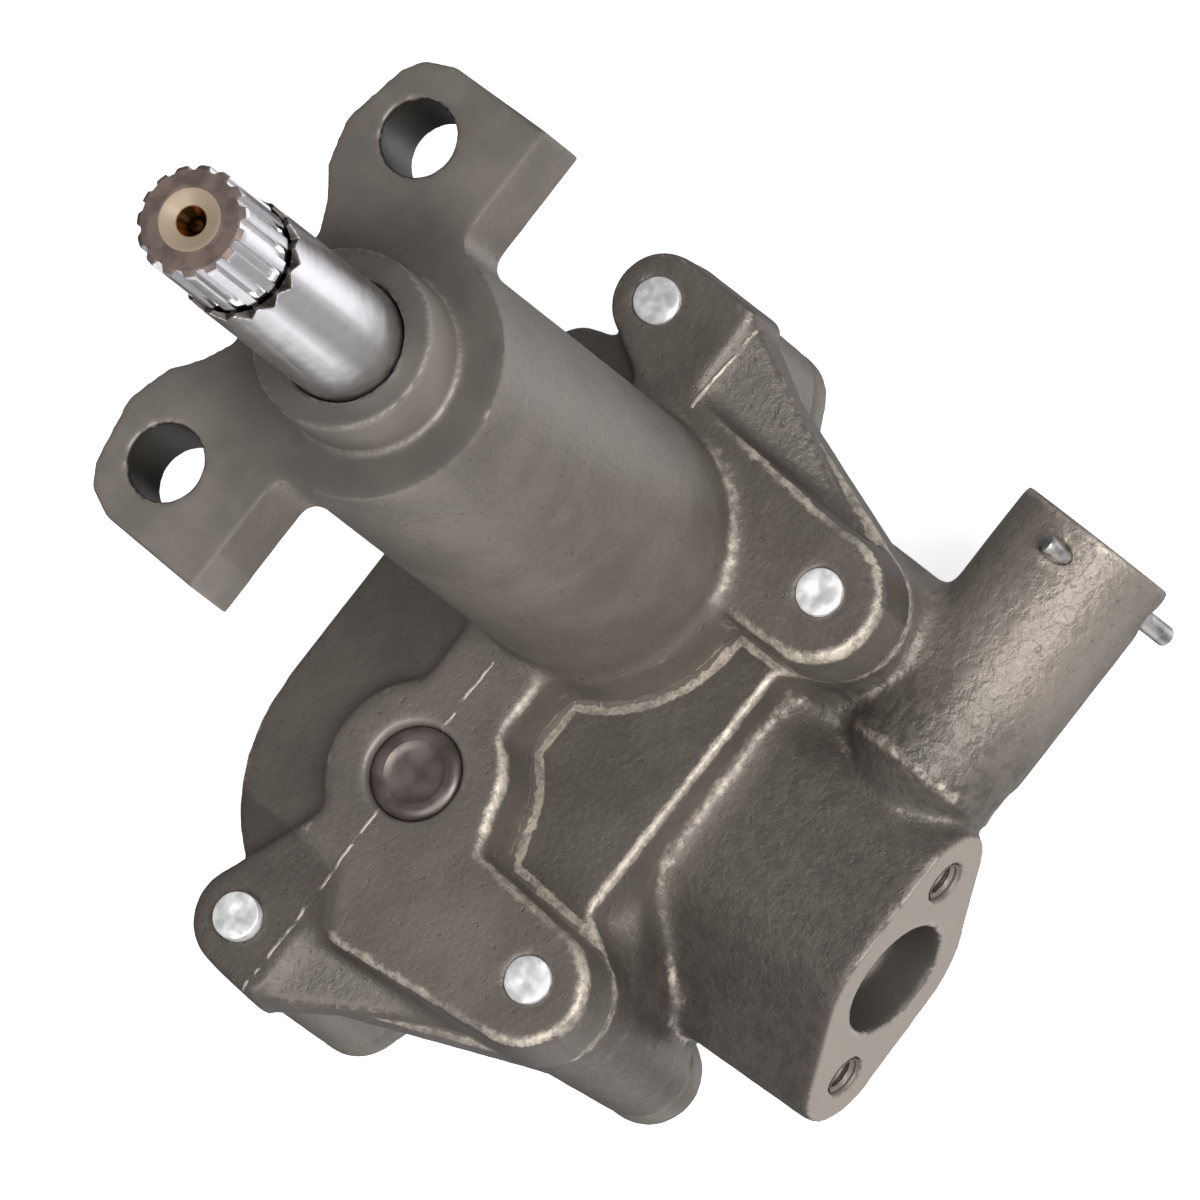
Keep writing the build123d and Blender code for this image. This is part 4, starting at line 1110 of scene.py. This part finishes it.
class OilPumpSettings(bpy.types.PropertyGroup):
    """Sizes and colours of the finish."""

    voxel: length_setting("Skin Step", "Spacing of the castings' skin vertices", 0.00068, 0.0004, 0.003)
    rounding: count_setting("Rounding", "Smoothing rounds that round the castings' edges", 6, 0, 30)
    fillet_rounds: count_setting(
        "Fillet Rounds", "Smoothing rounds that only fill the castings' inner corners", 26, 0, 80)
    grain_height: length_setting("Grain Height", "Height of the castings' unevenness", 0.00003, 0.0, 0.001)
    grain_size: length_setting(
        "Grain Size", "Size of the sand grain in the iron's surface", 0.0011, 0.0002, 0.01)
    patch_size: length_setting("Patch Size", "Size of lighter and darker patches", 0.02, 0.002, 0.2)
    leather_size: length_setting("Leather Size", "Size of the coarse skin's blotches", 0.0024, 0.0005, 0.02)
    triangle_limit: count_setting(
        "Triangle Limit", "Most triangles in one casting's skin", 190000, 10000, 199000)
    shaft_columns: count_setting("Shaft Columns", "Vertices round the drive shaft", 540, 90, 1080)
    iron_dark: colour_setting("Iron, Dark", "Darker patches of the cast skin", 90, 84, 77)
    iron_light: colour_setting("Iron, Light", "Lighter patches of the cast skin", 102, 95, 88)
    cut_dark: colour_setting("Cut Iron, Dark", "Darker patches of machined iron", 110, 104, 98)
    cut_light: colour_setting("Cut Iron, Light", "Lighter patches of machined iron", 122, 115, 108)
    # worn iron also gives the painted highlight along the edges and in the hollows
    worn_and_lit_colour: colour_setting("Worn And Highlit Iron", "Iron that is rubbed bright along the edges", 182, 172, 158)
    steel_dark: colour_setting("Shaft, Dark", "Darker streaks of the ground shaft", 186, 184, 186)
    steel_light: colour_setting("Shaft, Light", "Lighter streaks of the ground shaft", 214, 212, 214)
    zinc_dark: colour_setting("Zinc, Dark", "Darker spangle of the plated bolts", 208, 209, 208)
    zinc_light: colour_setting("Zinc, Light", "Lighter spangle of the plated bolts", 238, 238, 236)
    lens: FloatProperty(
        name="Lens", description="Focal length of the camera", default=1400.0, min=50.0, max=5000.0,
        unit="CAMERA")
    view_width: length_setting("View Width", "Width of the picture at the pump", 0.192, 0.05, 2.0)
    camera_target: FloatVectorProperty(
        name="Target", description="Point in the middle of the picture",
        default=(-0.0075, -0.0074, -0.1115), subtype="TRANSLATION")


class PumpOperator:
    """What the operators share: a run that reports a missing result as an error."""

    bl_options = {"REGISTER", "UNDO"}

    def finish(self, *made):
        """End the operator, or raise an error where a piece is missing."""
        if not all(made):
            raise RuntimeError(f"{self.bl_label} left out a piece")
        return {"FINISHED"}


class OILPUMP_OT_materials(PumpOperator, bpy.types.Operator):
    """Make the materials and give every solid its own"""

    bl_idname = "oilpump.materials"
    bl_label = "Materials"

    def execute(self, context):
        settings = context.scene.oil_pump
        grain_group(settings)
        wear_and_highlight_group()
        parting_group()
        cast_iron(settings)
        shaft_steel(settings)
        plain_metal("Ground Gear Steel", srgb(150, 148, 146), srgb(176, 174, 171), roughness=0.32)
        plain_metal("Dark Steel", srgb(86, 78, 75), srgb(106, 97, 93), roughness=0.42, metallic=0.6,
                    scale=220.0)
        plain_metal("Pin Steel", srgb(120, 118, 115), srgb(176, 174, 170), roughness=0.34)
        plain_metal("Bearing Bronze", srgb(176, 132, 84), srgb(200, 156, 104), roughness=0.34)
        plain_metal("Zinc Plate", settings.zinc_dark, settings.zinc_light, roughness=0.40, metallic=0.5,
                    scale=520.0, bump=0.22)
        names = {"cast_iron": "Cast Iron", "polished_steel": "Ground Shaft Steel", "dark_steel": "Dark Steel",
                 "gear_steel": "Ground Gear Steel", "bronze": "Bearing Bronze", "zinc": "Zinc Plate"}
        for part in record["subparts"]:
            mesh = frame["nodes"][part["node"]].data
            mesh.materials.clear()
            mesh.materials.append(bpy.data.materials[names[part["material_slot"]]])
        return self.finish(names)


class OILPUMP_OT_castings(PumpOperator, bpy.types.Operator):
    """Make the three castings' skins"""

    bl_idname = "oilpump.castings"
    bl_label = "Castings"

    def execute(self, context):
        settings = context.scene.oil_pump
        filler = (*valve_corner, filler_radius)
        return self.finish(
            cast_skin("upper_housing", settings.voxel, in_housing_cut, settings),
            cast_skin("pump_body", settings.voxel, in_body_cut, settings, [filler]),
            cast_skin("bottom_cover", settings.voxel * 1.2, in_cover_cut, settings))


class OILPUMP_OT_shafts(PumpOperator, bpy.types.Operator):
    """Make the drive shaft and the idler shaft"""

    bl_idname = "oilpump.shafts"
    bl_label = "Shafts"

    def execute(self, context):
        return self.finish(drive_shaft(context.scene.oil_pump), idler_shaft())


class OILPUMP_OT_fasteners(PumpOperator, bpy.types.Operator):
    """Make the bolts, washers, lock pin, relief spring and the tapped holes' threads"""

    bl_idname = "oilpump.fasteners"
    bl_label = "Fasteners"

    def execute(self, context):
        return self.finish(
            cover_bolts(), bolt_washers(), lock_pin(), relief_spring(),
            thread_sleeve("outlet_threads", "outlet_bolts", math.radians(25), (0, -1, 0)),
            thread_sleeve("inlet_threads", "inlet_bolts", 0.0, (0, 0, -1)))


class OILPUMP_OT_stage(PumpOperator, bpy.types.Operator):
    """Set up the floor, lights, world and camera"""

    bl_idname = "oilpump.stage"
    bl_label = "Stage"

    def execute(self, context):
        make_world()
        make_floor()
        area_light("Key", place=(0.12, -0.68, 0.62), size=0.5, power=9.5)
        area_light("Fill", place=(-0.55, -0.40, 0.80), size=0.6, power=5.5)
        make_camera(context.scene.oil_pump)
        context.scene.view_settings.view_transform = "Standard"
        return self.finish(context.scene.camera)


STEPS = (OILPUMP_OT_materials, OILPUMP_OT_castings, OILPUMP_OT_shafts, OILPUMP_OT_fasteners, OILPUMP_OT_stage)


class OILPUMP_PT_panel(bpy.types.Panel):
    """Buttons and sizes of the oil pump"""

    bl_label = "Oil Pump"
    bl_idname = "OILPUMP_PT_panel"
    bl_space_type = "VIEW_3D"
    bl_region_type = "UI"
    bl_category = "Oil Pump"

    def draw(self, context):
        for name in OilPumpSettings.__annotations__:
            self.layout.prop(context.scene.oil_pump, name)
        for operator in STEPS:
            self.layout.operator(operator.bl_idname)


CLASSES = (OilPumpSettings, *STEPS, OILPUMP_PT_panel)


def register():
    """Register the classes and the scene's settings."""
    for item in CLASSES:
        bpy.utils.register_class(item)
    bpy.types.Scene.oil_pump = PointerProperty(type=OilPumpSettings)


def unregister():
    """Undo register."""
    del bpy.types.Scene.oil_pump
    for item in reversed(CLASSES):
        bpy.utils.unregister_class(item)


def main():
    """Make the pieces and the stage."""
    register()
    bpy.ops.oilpump.materials()
    bpy.ops.oilpump.castings()
    bpy.ops.oilpump.shafts()
    bpy.ops.oilpump.fasteners()
    bpy.ops.oilpump.stage()


if __name__ == "__main__":
    main()
